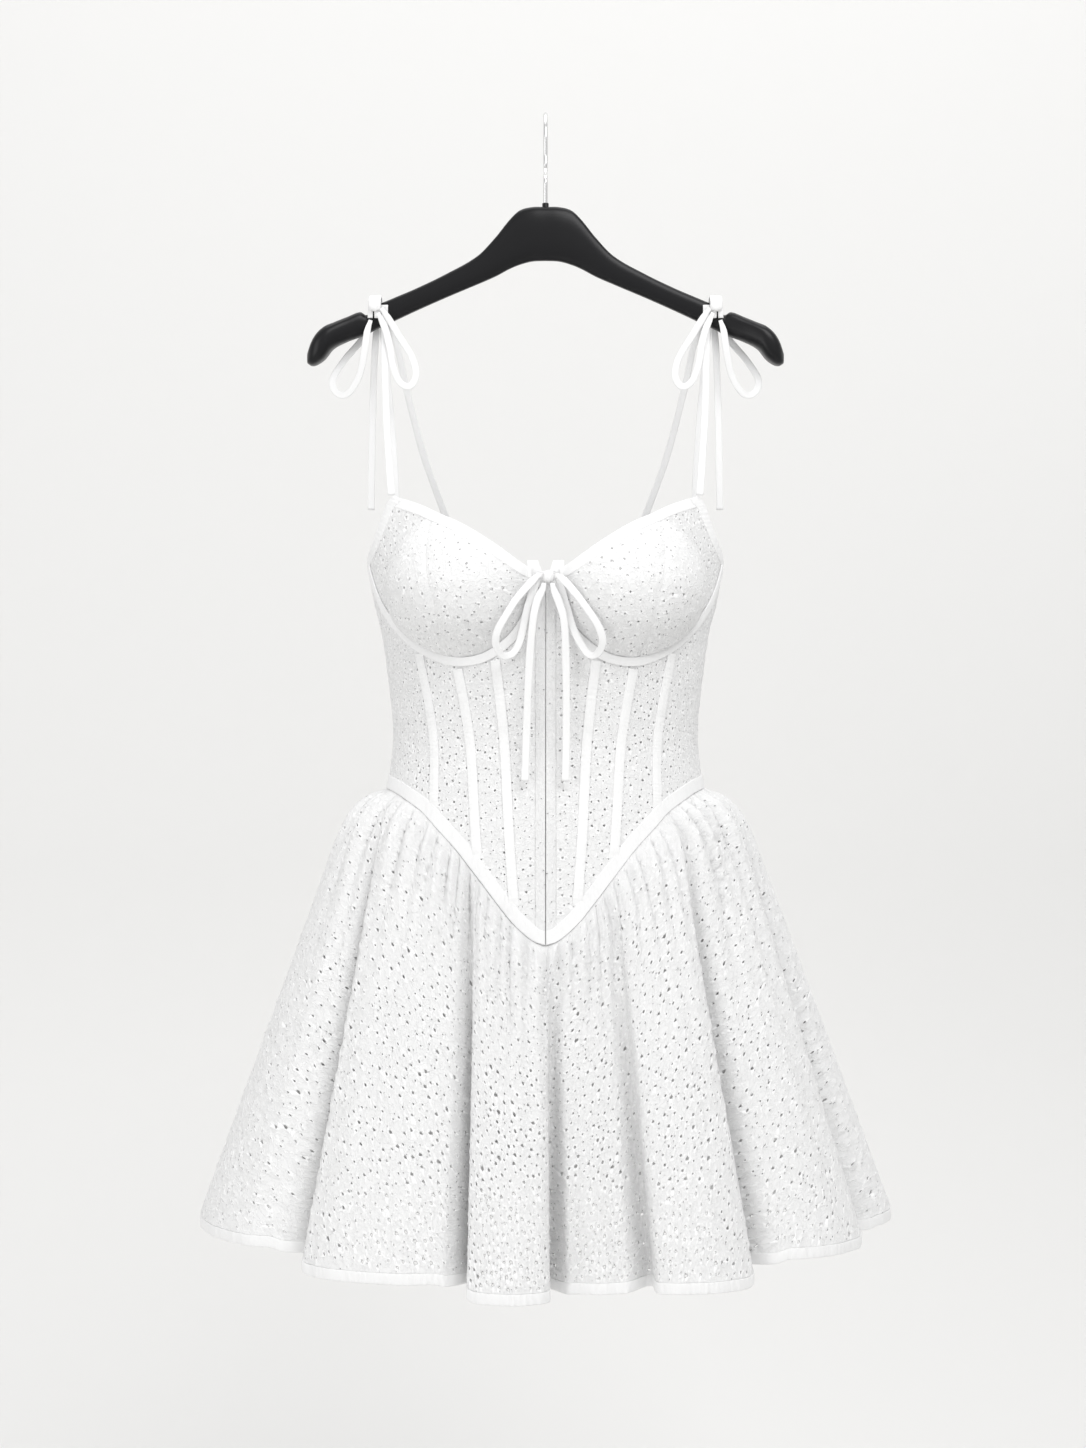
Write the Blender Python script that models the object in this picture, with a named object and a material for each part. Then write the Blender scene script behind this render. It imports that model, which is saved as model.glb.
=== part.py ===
"""Corset dress in white eyelet cotton, hanging filled out from a black hanger with a steel hook.

The origin is the inner crest of the hook, where it rests on a rail. The dress faces -Y, and +X is to the
right of someone who looks at its front. Sizes are in millimetres, turned into metres as each mesh is made.
Places on the bodice are an angle round the body, 0 at the left side seam, 90 at the front centre, 180 at
the right side seam and 270 at the back centre, with a height under the hook.
"""

import math

import bmesh
import bpy
from mathutils import Vector

MM = 0.001

# Cloth and seams
WALL = 1.2
SEAM_GAP = 0.3
BINDING_WIDTH = 9.3
BINDING_RAISE = 0.8
CHANNEL_WIDTH = 8.4
CHANNEL_THICK = 1.2
CHANNEL_GAP = 0.7
UNDERWIRE_WIDTH = 8.0
CHANNEL_FOOT_SHARE = 0.25
WAIST_BAND_WIDTH = 11.5
HEM_BAND_WIDTH = 9.0
HEM_BAND_THICK = 2.0
HEM_GAP = 0.9
WAIST_GAP = 0.5
POINT_EASE = 1.4

# Bodice sections, as rounded ovals
SECTIONS = (
    # height, half width, front depth, back depth, power
    (-735, 160.0, 106, 102, 2.20),
    (-640, 148.0, 95, 90, 2.20),
    (-590, 139.0, 86, 80, 2.20),
    (-562, 134.7, 81, 74, 2.20),
    (-544, 133.8, 80, 72, 2.20),
    (-517, 135.4, 83, 74, 2.20),
    (-486, 139.2, 87, 77, 2.20),
    (-459, 142.8, 89, 79, 2.20),
    (-425, 151.0, 91, 80, 2.20),
    (-392, 156.0, 89, 80, 2.15),
    (-360, 157.5, 83, 77, 2.10),
    (-325, 158.0, 72, 74, 2.10),
)

# Cups, as domes on those sections
CUP_X = 77
CUP_HEIGHT = -416
CUP_RADIUS = 62
CUP_LIFT = 38
CUP_ROUNDNESS = 2.4
CUP_UPPER_EASE = 0.35

# Edges and seams of the left half
NECKLINE = (
    # angle, height
    (34.0, -337),
    (42.0, -341.5),
    (50.5, -348),
    (63.2, -363),
    (74.8, -381.5),
    (83.2, -397),
    (86.5, -402),
)
NECK_SAMPLES = 17
ARMHOLE_AND_BACK = (
    # angle, height
    (34.0, -337),
    (29.4, -345),
    (26.3, -355),
    (21.8, -367),
    (15.7, -379),
    (3.0, -391),
    (-10.0, -398),
    (-30.0, -402),
    (-60.0, -405),
    (-90.0, -407),
)
ARMHOLE_SAMPLES = 21
CUP_CORNER_ANGLE = 11
PANEL_ROWS = 6
BACK_ROWS_DOWN = 5
UNDERWIRE = (
    # angle, height, from the armhole to the front centre
    (17.5, -418),
    (25.5, -438),
    (36.0, -456),
    (46.5, -468.5),
    (57.6, -476.5),
    (66.9, -475.6),
    (73.5, -469),
    (79.7, -456.5),
    (83.6, -440.5),
    (85.3, -424),
)
CUP_SEAM = (
    # angle, height, between the neckline and the underwire
    (53.7, -373),
    (57.4, -414),
    (58.8, -431),
)
CUP_SEAM_TOP = 51.4
CUP_SEAM_FOOT = 57.6
BONING_SEAMS = (
    # name, angle at the cup, angle at the waist
    ("a", 40.7, 49.7),
    ("b", 58.9, 69.5),
    ("c", 73.8, 81.7),
)
WAIST_SEAM = (
    # angle, height
    (0.0, -590),
    (14.0, -591.5),
    (27.0, -596),
    (42.4, -608),
    (52.5, -624),
    (60.6, -640),
    (66.7, -656),
    (72.2, -672.5),
    (77.2, -689),
    (81.1, -702),
    (84.7, -712),
    (87.3, -718),
    (90.0, -721),
)
WAIST_SAMPLES = 25
WAIST_SIDE = -590
PLACKET_WIDTH = 8.6
OPENING_HALF = 0.5
PLACKET_TOP = -404.5
PLACKET_ROWS = 8
TAPE_BEHIND = 1.2
TAPE_EDGE = (
    # distance from the front centre, height
    (6.4, -395),
    (2.6, -406),
    (0.7, -420),
    (0.7, -560),
    (0.7, -700),
)
OPENING_TAPE_WIDTH = 16
BACK_PANEL_SEAM = 244

# Skirt
HEM_HALF_WIDTH = 301
HEM_FRONT_DEPTH = 213
HEM_BACK_DEPTH = 190
HEM_POWER = 2.1
PUFF_SHARE = 0.166
PUFF_LENGTH = 14
GATHER_PITCH = 15
GATHER_DEPTH = 4.2
GATHER_FADE = 62
GATHER_DRIFT = 2.2
GATHER_DRIFT_RUN = 23
GATHER_CHANGE_RUN = 31
GATHER_AT_SEAM = 0.4
FOLD_SHARP = 0.66
FOLD_SPREAD = 3
FOLD_GROWTH = 0.85
FOLD_START = 12
FRONT_FOLDS = (
    # hem angle, waist angle, depth, mouth, lean to the right
    (44.5, 27, 60, 12, 9),
    (76.6, 67, 56, 10, 6),
    (92, 92, 54, 9, -7),
    (104.8, 107, 40, 12, 8),
    (127.4, 134, 58, 12, -9),
    (159.5, 172, 44, 12, -6),
)
FRONT_LOBES = (
    # stands out, hem height
    (0, -971),
    (2, -989),
    (8, -1002),
    (-28, -1001),
    (2, -997),
    (0, -977),
    (0, -966),
)
BACK_FOLDS = (
    # hem angle, waist angle, depth, mouth, lean
    (205, 196, 46, 13, 6),
    (231, 226, 54, 13, -6),
    (254, 250, 46, 12, 6),
    (279, 280, 54, 13, -6),
    (305, 308, 48, 12, 7),
    (333, 340, 50, 13, -6),
)
BACK_LOBES = (
    # stands out, hem height
    (0, -966),
    (4, -971),
    (0, -975),
    (-10, -972),
    (6, -976),
    (0, -972),
    (0, -971),
)
FRONT_COLUMNS = 116
BACK_COLUMNS = 75
FRONT_ROWS = (0, 0.035, 0.09, 0.18, 0.33, 0.54, 0.78, 1)
BACK_ROWS = (0, 0.045, 0.13, 0.3, 0.57, 0.78, 1)
DENSE_STEPS = 1440
EYELET_RADII = (2.2, 2.9, 2.5, 3.2)
EYELET_PLACES = (0.14, 0.3, 0.2, 0.42, 0.26, 0.55, 0.17)
EYELET_ROOM = 1.6

# Tapes that tie
TAPE_WIDTH = 6.2
TAPE_THICK = 1.2
BOW_TAPE_WIDTH = 6.4
TAPE_STEP = 26
SHOULDER_LOOP_STEP = 8
BOW_LOOP_STEP = 6.5
SHOULDER_KNOT_SIDES = (144.9, 155.2)
BOW_KNOT_SIDES = (-1.4, 6.2)

# Hanger
HOOK_RADIUS = 25
HOOK_WIRE = 3.7
HOOK_FOOT_ANGLE = -82
HOOK_STEPS = 17
HOOK_TIP = ((-26.9, -40), (-28.6, -50.5))
COLLAR_TOP = -75.8
COLLAR_WIDTH = 5.8
COLLAR_SIDES = 12
HANGER_PROFILE = (
    # distance from the centre, top, bottom, half thickness
    (0, -79.2, -126.6, 7.0),
    (12, -79.4, -127.2, 7.0),
    (23, -82.5, -130.2, 6.6),
    (32, -91.0, -134.0, 6.2),
    (44, -106.0, -140.4, 6.0),
    (60, -122.5, -147.4, 5.8),
    (88, -138.5, -159.2, 5.8),
    (115, -151.5, -171.2, 6.0),
    (138, -161.3, -182.0, 6.6),
    (149, -166.5, -187.0, 7.0),
    (157, -174.5, -191.3, 7.6),
    (163, -171.9, -193.6, 8.6),
    (175, -176.5, -198.0, 11.0),
    (187, -181.5, -204.4, 14.0),
    (194, -184.5, -213.0, 15.5),
    (201, -190.5, -218.0, 15.0),
    (206, -198.5, -219.0, 12.0),
    (209.4, -208.0, -217.0, 6.0),
)
HANGER_SIDES = 8


def smooth_row(table, key):
    """The table's row at this key, on a smooth curve through its rows, without the key itself."""
    rows = sorted(table)
    key = min(max(key, rows[0][0]), rows[-1][0])
    i = 0
    while i < len(rows) - 2 and key > rows[i + 1][0]:
        i += 1
    before, low = rows[max(i - 1, 0)], rows[i]
    high, after = rows[i + 1], rows[min(i + 2, len(rows) - 1)]
    span = high[0] - low[0]
    t = (key - low[0]) / span
    found = []
    for column in range(1, len(low)):
        slope_low = (high[column] - before[column]) / (high[0] - before[0]) * span
        slope_high = (after[column] - low[column]) / (after[0] - low[0]) * span
        found.append(
            (2 * t**3 - 3 * t**2 + 1) * low[column]
            + (t**3 - 2 * t**2 + t) * slope_low
            + (3 * t**2 - 2 * t**3) * high[column]
            + (t**3 - t**2) * slope_high
        )
    return found


def signed_power(value, power):
    return math.copysign(abs(value) ** (2 / power), value)


def oval(angle, half_width, front, back, power):
    """Plan place on a rounded oval at this angle in degrees."""
    turn = math.radians(angle)
    across = -half_width * signed_power(math.cos(turn), power)
    depth = front if math.sin(turn) > 0 else back
    return Vector((across, -depth * signed_power(math.sin(turn), power), 0))


def body_place(angle, height):
    place = oval(angle, *smooth_row(SECTIONS, height))
    place.z = height
    return place


def angle_at(across, height):
    """The front angle of the left half at this distance from the front centre."""
    half_width, _, _, power = smooth_row(SECTIONS, height)
    return math.degrees(math.acos(min(1, (across / half_width) ** (power / 2))))


def cup_lift(place):
    """How far the cup stands out over this place of the body."""
    if place.y > 0:
        return 0.0
    above = (place.z - CUP_HEIGHT) / CUP_RADIUS
    reach = math.hypot((abs(place.x) - CUP_X) / CUP_RADIUS, above)
    if reach >= 1:
        return 0.0
    ease = 1 - CUP_UPPER_EASE * min(1, max(0, above))
    return CUP_LIFT * (1 - reach**CUP_ROUNDNESS) * ease


def facing(place_at, u, v, step_u, step_v):
    """The outward direction of a surface, from its neighbouring places."""
    along = place_at(u + step_u, v) - place_at(u - step_u, v)
    up = place_at(u, v + step_v) - place_at(u, v - step_v)
    return along.cross(up).normalized()


def skin(angle, height):
    place = body_place(angle, height)
    return place + facing(body_place, angle, height, 0.5, 1) * cup_lift(place)


def bodice(angle, height, lift=0.0):
    """A place on the bodice, moved out from its face by lift."""
    return skin(angle, height) + facing(skin, angle, height, 0.5, 1) * lift


def flat_bodice(angle, height, lift=0.0):
    """The same without the cups."""
    return body_place(angle, height) + facing(body_place, angle, height, 0.5, 1) * lift


def resampled(curve, count):
    """The curve of angles and heights as count places, evenly spaced over the cloth."""
    places = [body_place(*point) for point in curve]
    lengths = [0.0]
    for first, second in zip(places, places[1:]):
        lengths.append(lengths[-1] + (second - first).length)
    found = []
    for i in range(count):
        wanted = lengths[-1] * i / (count - 1)
        k = 0
        while k < len(lengths) - 2 and wanted > lengths[k + 1]:
            k += 1
        t = (wanted - lengths[k]) / (lengths[k + 1] - lengths[k])
        found.append(tuple(a + (b - a) * t for a, b in zip(curve[k], curve[k + 1])))
    return found


def smoothed(table, count):
    """A smooth curve through a short table of angles and heights."""
    keyed = [(i, *row) for i, row in enumerate(table)]
    last = len(table) - 1
    steps = 8 * last
    dense = [tuple(smooth_row(keyed, last * i / steps)) for i in range(steps + 1)]
    return resampled(dense, count)


def cut(curve, start, end):
    """The part of a curve between two angles, which it passes once, in the curve's own order."""
    ordered = curve if curve[0][0] < curve[-1][0] else list(reversed(curve))
    kept = [point for point in ordered if start + 0.05 < point[0] < end - 0.05]
    kept = [crossing(ordered, start)] + kept + [crossing(ordered, end)]
    return kept if curve[0][0] < curve[-1][0] else list(reversed(kept))


def crossing(ordered, angle):
    """The place where a curve of rising angle passes this angle."""
    for first, second in zip(ordered, ordered[1:]):
        if angle <= second[0]:
            break
    t = (angle - first[0]) / (second[0] - first[0])
    return (angle, first[1] + (second[1] - first[1]) * t)


def beside(curve, distance):
    """The curve moved sideways over the cloth, up from one that runs left to right."""
    moved = []
    for i, (angle, height) in enumerate(curve):
        before, after = curve[max(i - 1, 0)], curve[min(i + 1, len(curve) - 1)]
        run = body_place(*after) - body_place(*before)
        out = facing(body_place, angle, height, 0.5, 1)
        shift = out.cross(run).normalized() * distance
        per_degree = body_place(angle + 0.5, height) - body_place(angle - 0.5, height)
        per_mm = (body_place(angle, height + 1) - body_place(angle, height - 1)) / 2
        aa, ab, bb = per_degree.dot(per_degree), per_degree.dot(per_mm), per_mm.dot(per_mm)
        sa, sb = shift.dot(per_degree), shift.dot(per_mm)
        scale = aa * bb - ab * ab
        moved.append((angle + (sa * bb - sb * ab) / scale, height + (sb * aa - sa * ab) / scale))
    return moved


def straight(start, end, count):
    return [tuple(a + (b - a) * i / (count - 1) for a, b in zip(start, end)) for i in range(count)]


def patch(top, bottom, left, right):
    """Rows of places that fill the space between four edges. Left and right run downwards."""
    rows, columns = len(left), len(top)
    grid = []
    for r in range(rows):
        v = r / (rows - 1)
        line = []
        for c in range(columns):
            u = c / (columns - 1)
            place = []
            for k in (0, 1):
                ruled = (1 - v) * top[c][k] + v * bottom[c][k] + (1 - u) * left[r][k] + u * right[r][k]
                corners = (1 - v) * ((1 - u) * top[0][k] + u * top[-1][k])
                corners += v * ((1 - u) * bottom[0][k] + u * bottom[-1][k])
                place.append(ruled - corners)
            line.append(tuple(place))
        grid.append(line)
    return grid


def make_material(name, colour, roughness, metallic=0.0):
    material = bpy.data.materials.new(name)
    material.use_nodes = True
    shader = material.node_tree.nodes["Principled BSDF"]
    shader.inputs["Base Color"].default_value = (*colour, 1)
    shader.inputs["Roughness"].default_value = roughness
    shader.inputs["Metallic"].default_value = metallic
    return material


def add_object(name, bm, material, sharp=40):
    bmesh.ops.recalc_face_normals(bm, faces=bm.faces)
    mesh = bpy.data.meshes.new(name)
    bm.to_mesh(mesh)
    bm.free()
    mesh.shade_smooth()
    mesh.set_sharp_from_angle(angle=math.radians(sharp))
    mesh.materials.append(material)
    item = bpy.data.objects.new(name, mesh)
    bpy.context.scene.collection.objects.link(item)
    return item


def cell_ring(corners, centre, radius):
    """Eight places round an eyelet in a cell, as the cell's own sheet holds them."""
    top_left, bottom_left, bottom_right, top_right = corners
    wide = ((top_right - top_left).length + (bottom_right - bottom_left).length) / 2
    tall = ((top_left - bottom_left).length + (top_right - bottom_right).length) / 2
    ring = []
    for k in range(8):
        turn = math.radians(45 * k)
        u = centre[0] + radius / wide * math.cos(turn)
        v = centre[1] + radius / tall * math.sin(turn)
        upper = top_left.lerp(top_right, u)
        lower = bottom_left.lerp(bottom_right, u)
        ring.append(lower.lerp(upper, v))
    return ring


def closed_wall(name, outer, inner, material, eyelets=None):
    """A wall between two grids of places, with eyelets cut through. Rows run down and columns to the right."""
    eyelets = eyelets or {}
    bm = bmesh.new()
    sides = [[[bm.verts.new(place * MM) for place in row] for row in grid] for grid in (outer, inner)]
    rows, columns = len(outer), len(outer[0])
    for r in range(rows - 1):
        for c in range(columns - 1):
            cells = []
            for points, grid in zip(sides, (outer, inner)):
                index = ((r, c), (r + 1, c), (r + 1, c + 1), (r, c + 1))
                corners = [points[i][j] for i, j in index]
                places = [grid[i][j] for i, j in index]
                if (r, c) not in eyelets:
                    bm.faces.new((corners[0], corners[1], corners[2]))
                    bm.faces.new((corners[0], corners[2], corners[3]))
                    continue
                ring = [bm.verts.new(p * MM) for p in cell_ring(places, *eyelets[r, c])]
                for k, corner in enumerate((corners[3], corners[0], corners[1], corners[2])):
                    after = (corners[0], corners[1], corners[2], corners[3])[k]
                    first, middle, last = ring[2 * k], ring[2 * k + 1], ring[(2 * k + 2) % 8]
                    bm.faces.new((corner, first, middle))
                    bm.faces.new((corner, middle, last))
                    bm.faces.new((corner, last, after))
                cells.append(ring)
            if cells:
                for k in range(8):
                    n = (k + 1) % 8
                    bm.faces.new((cells[0][k], cells[1][k], cells[1][n], cells[0][n]))
    edge = [(0, c) for c in range(columns)]
    edge += [(r, columns - 1) for r in range(1, rows)]
    edge += [(rows - 1, c) for c in range(columns - 2, -1, -1)]
    edge += [(r, 0) for r in range(rows - 2, 0, -1)]
    for (r, c), (rn, cn) in zip(edge, edge[1:] + edge[:1]):
        a, b = sides[0][r][c], sides[0][rn][cn]
        d, e = sides[1][r][c], sides[1][rn][cn]
        bm.faces.new((a, b, e))
        bm.faces.new((a, e, d))
    return add_object(name, bm, material)


def bodice_grids(grid, low, high, place_at=bodice):
    """The outer and inner faces of a piece of the bodice between two distances from its face."""
    return [[[place_at(*place, lift) for place in row] for row in grid] for lift in (high, low)]


def bodice_wall(name, grid, low, high, material, place_at=bodice):
    return closed_wall(name, *bodice_grids(grid, low, high, place_at), material)


def both_halves(name, grid, low, high, material, place_at=bodice):
    """The piece on the left half of the dress and its mirror image."""
    faces = bodice_grids(grid, low, high, place_at)
    closed_wall(name + "_left", *faces, material)
    turned = [[[Vector((-p.x, p.y, p.z)) for p in row] for row in face] for face in faces]
    closed_wall(name + "_right", *turned, material)


def meeting(first, second):
    """Where two curves of places cross, each carried on a little past its start."""
    for curve in (first, second):
        (a, h), (an, hn) = curve[0], curve[1]
        curve[0] = (a - (an - a), h - (hn - h))
    for i, (p, q) in enumerate(zip(first, first[1:])):
        for j, (r, s) in enumerate(zip(second, second[1:])):
            run, other = (q[0] - p[0], q[1] - p[1]), (s[0] - r[0], s[1] - r[1])
            scale = run[0] * other[1] - run[1] * other[0]
            if abs(scale) < 1e-9:
                continue
            apart = (r[0] - p[0], r[1] - p[1])
            t = (apart[0] * other[1] - apart[1] * other[0]) / scale
            u = (apart[0] * run[1] - apart[1] * run[0]) / scale
            if 0 <= t <= 1 and 0 <= u <= 1:
                return i, j, (p[0] + run[0] * t, p[1] + run[1] * t)
    raise ValueError("the curves don't cross")


def ladder(line, reach):
    """Rows across a line that runs downwards, reaching as far to its left as to its right."""
    return [list(pair) for pair in zip(beside(line, -reach), beside(line, reach))]


def neck_edge(distance):
    """The neckline moved up by distance, from the strap's corner to its upright end."""
    edge = beside(smoothed(NECKLINE, NECK_SAMPLES), distance)
    last = NECKLINE[-1][0]
    return edge[:-1] + [crossing(edge, last)]


def neck_from_binding(distance):
    """That edge from the armhole binding on."""
    edge = neck_edge(distance)
    i, _, start = meeting(list(edge), armhole_edge(BINDING_WIDTH + SEAM_GAP))
    return [start] + [point for point in edge[i + 1 :] if point[0] > start[0] + 0.5]


def armhole_edge(distance):
    """The edge from the strap's corner under the arm to the back centre, moved down by distance."""
    edge = beside(smoothed(ARMHOLE_AND_BACK, ARMHOLE_SAMPLES), distance)
    edge[-1] = (-90, edge[-1][1])
    return edge


def underwire():
    """The cup's lower edge, from under the armhole binding to the front centre."""
    corner = crossing(list(reversed(armhole_edge(BINDING_WIDTH + SEAM_GAP))), CUP_CORNER_ANGLE)
    return smoothed((corner, *UNDERWIRE), 25)


def waist_edge(distance):
    """The waist seam of the left front, moved up by distance."""
    edge = beside(smoothed(WAIST_SEAM, WAIST_SAMPLES), distance)
    kept = [point for point in edge if 0.3 < point[0] < 89.6]
    return [(0, edge[0][1])] + kept + [crossing(edge, 90)]


def make_cups(cotton):
    half = SEAM_GAP / 2
    neck = neck_from_binding(-BINDING_WIDTH - 2 * SEAM_GAP)
    arm = armhole_edge(BINDING_WIDTH + SEAM_GAP)
    arc = beside(underwire(), half)
    left = [neck[0]] + [p for p in arm if arc[0][0] + 0.5 < p[0] < neck[0][0] and p[1] < neck[0][1] - 3]
    left.append(arc[0])
    rows = len(left)
    seam = smoothed([crossing(neck, CUP_SEAM_TOP), *CUP_SEAM, crossing(arc, CUP_SEAM_FOOT)], rows)
    outer_seam, inner_seam = beside(seam, -half), beside(seam, half)
    inner_edge = straight(neck[-1], arc[-1], rows)
    top = cut(neck, neck[0][0], outer_seam[0][0])
    bottom = resampled(cut(arc, arc[0][0], outer_seam[-1][0]), len(top))
    both_halves("cup_outer", fitted_patch(top, bottom, left, outer_seam), -WALL, 0, cotton)
    top = cut(neck, inner_seam[0][0], neck[-1][0])
    bottom = resampled(cut(arc, inner_seam[-1][0], arc[-1][0]), len(top))
    both_halves("cup_inner", fitted_patch(top, bottom, inner_seam, inner_edge), -WALL, 0, cotton)


def fitted_patch(top, bottom, left, right):
    """A patch whose side edges end where its upper and lower edges do."""
    left, right = list(left), list(right)
    left[0], left[-1] = top[0], bottom[0]
    right[0], right[-1] = top[-1], bottom[-1]
    return patch(top, bottom, left, right)


def panel_top():
    """The upper edge of the left front's panels: armhole binding, cup, and the point between the cups."""
    arc = beside(underwire(), -SEAM_GAP / 2)
    arm = cut(armhole_edge(BINDING_WIDTH + SEAM_GAP), 0, CUP_CORNER_ANGLE)
    below = neck_edge(-BINDING_WIDTH - SEAM_GAP)[-1][1]
    side = angle_at(PLACKET_WIDTH + OPENING_HALF + SEAM_GAP, below)
    return list(reversed(arm))[:-1] + arc + [(NECKLINE[-1][0] + 0.15, below), (side, below)]


def seam_line(top, foot):
    """A boning seam from the cup to the waist band."""
    start = crossing(panel_top(), top)
    return straight(start, crossing(waist_edge(WAIST_BAND_WIDTH + SEAM_GAP), foot), PANEL_ROWS)


def placket_edge(across, top, rows):
    """An upright line at this distance from the front centre, down to the waist band."""
    lower = waist_edge(WAIST_BAND_WIDTH + SEAM_GAP)
    foot = crossing(lower, angle_at(across, lower[-1][1]))[1]
    return [(angle_at(across, height), height) for _, height in straight((0, top), (0, foot), rows)]


def make_front_panels(cotton):
    half = SEAM_GAP / 2
    upper, lower = panel_top(), waist_edge(WAIST_BAND_WIDTH + SEAM_GAP)
    inner = placket_edge(PLACKET_WIDTH + OPENING_HALF + SEAM_GAP, upper[-1][1], PANEL_ROWS)
    lines = [straight((0.15, upper[0][1]), (0.15, lower[0][1]), PANEL_ROWS)]
    lines += [seam_line(top, foot) for _, top, foot in BONING_SEAMS] + [inner]
    names = ("panel_side", "panel_third", "panel_second", "panel_centre")
    for i, name in enumerate(names):
        left = beside(lines[i], half if i else 0)
        right = beside(lines[i + 1], -half if i < 3 else 0)
        top = cut(upper, left[0][0], right[0][0])
        bottom = resampled(cut(lower, left[-1][0], right[-1][0]), len(top))
        both_halves(name, fitted_patch(top, bottom, left, right), -WALL, 0, cotton, flat_bodice)


def make_channels(tape):
    low, high = CHANNEL_GAP, CHANNEL_GAP + CHANNEL_THICK
    arc = underwire()
    grid = [beside(arc, -SEAM_GAP), beside(arc, -UNDERWIRE_WIDTH)]
    both_halves("underwire_channel", grid, low, high, tape, flat_bodice)
    reach = CHANNEL_WIDTH / 2
    for name, top, foot in BONING_SEAMS:
        line = seam_line(top, foot)
        row = (line[0][1] - line[-1][1]) / (PANEL_ROWS - 1)
        share = (UNDERWIRE_WIDTH + reach + 1) / row
        line[0] = tuple(a + (b - a) * share for a, b in zip(line[0], line[1]))
        line[-1] = tuple(a + (b - a) * CHANNEL_FOOT_SHARE for a, b in zip(line[-1], line[-2]))
        both_halves("boning_channel_" + name, ladder(line, reach), low, high, tape, flat_bodice)


def make_bindings(tape):
    low, high = -WALL - BINDING_RAISE, BINDING_RAISE
    upper, lower = neck_from_binding(0), neck_from_binding(-BINDING_WIDTH)
    both_halves("neck_binding", [resampled(upper, len(lower)), lower], low, high, tape)
    rows = []
    for distance in (0, BINDING_WIDTH):
        left = armhole_edge(distance)
        if distance:
            _, j, start = meeting(neck_edge(0), list(left))
            left = [start] + [p for p in left[j + 1 :] if p[1] < start[1] - 3]
        right = [(180 - angle, height) for angle, height in left]
        rows.append(right + [(angle + 360, height) for angle, height in reversed(left)][1:])
    rows[0] = resampled(rows[0], len(rows[1]))
    bodice_wall("armhole_back_binding", rows, low, high, tape)


def make_back_panels(cotton):
    half = SEAM_GAP / 2
    edge = armhole_edge(BINDING_WIDTH + SEAM_GAP)
    left = [(angle + 360, height) for angle, height in reversed(edge)]
    right = [(540 - angle, height) for angle, height in reversed(left)]
    edge = right[:-1] + left
    foot = WAIST_SIDE + WAIST_BAND_WIDTH + SEAM_GAP
    limits = (180.15, BACK_PANEL_SEAM, 540 - BACK_PANEL_SEAM, 359.85)
    names = ("back_side_right", "back_centre", "back_side_left")
    for i, name in enumerate(names):
        top = cut(edge, limits[i], limits[i + 1])
        ends = ((0, limits[i], half if i else 0), (-1, limits[i + 1], -half if i < 2 else 0))
        sides = []
        for side, angle, shift in ends:
            line = straight((angle, top[side][1]), (angle, foot), BACK_ROWS_DOWN)
            sides.append(beside(line, shift))
        bottom = resampled(straight(sides[0][-1], sides[1][-1], 25), len(top))
        grid = fitted_patch([sides[0][0]] + top[1:-1] + [sides[1][0]], bottom, *sides)
        bodice_wall(name, grid, -WALL, 0, cotton, flat_bodice)


def make_waist_band(tape):
    low, high = -WALL - BINDING_RAISE / 2, BINDING_RAISE
    rows = []
    for distance in (WAIST_BAND_WIDTH, 0):
        edge = waist_edge(distance)
        last = angle_at(OPENING_HALF, edge[-1][1])
        edge = [(0.1, edge[0][1])] + edge[1:-1] + [(last, edge[-1][1])]
        rows.append(resampled(edge, WAIST_SAMPLES))
    both_halves("waist_band_front", rows, low, high, tape, flat_bodice)
    back = straight((180.1, WAIST_SIDE), (359.9, WAIST_SIDE), 23)
    rows = [[(angle, height + rise) for angle, height in back] for rise in (WAIST_BAND_WIDTH, 0)]
    bodice_wall("waist_band_back", rows, low, high, tape, flat_bodice)


def make_opening(tape, cotton):
    """The front opening: a placket on each side, and behind them a tape for hooks and one for eyes."""
    across = (OPENING_HALF + PLACKET_WIDTH, OPENING_HALF)
    edges = [placket_edge(distance, PLACKET_TOP, PLACKET_ROWS) for distance in across]
    grid = [list(pair) for pair in zip(*edges)]
    both_halves("placket", grid, -WALL, 0, cotton, flat_bodice)
    edge = resampled([(angle_at(across, height), height) for across, height in TAPE_EDGE], 13)
    grid = [[(angle_at(OPENING_TAPE_WIDTH, height), height), (angle, height)] for angle, height in edge]
    high = -WALL - TAPE_BEHIND
    faces = bodice_grids(grid, high - WALL, high, flat_bodice)
    closed_wall("hook_tape", *faces, tape)
    turned = [[[Vector((-p.x, p.y, p.z)) for p in row] for row in face] for face in faces]
    closed_wall("eye_tape", *turned, tape)


def smooth_step(value):
    value = min(1, max(0, value))
    return value * value * (3 - 2 * value)


WAIST_LINE = waist_edge(0)


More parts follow.
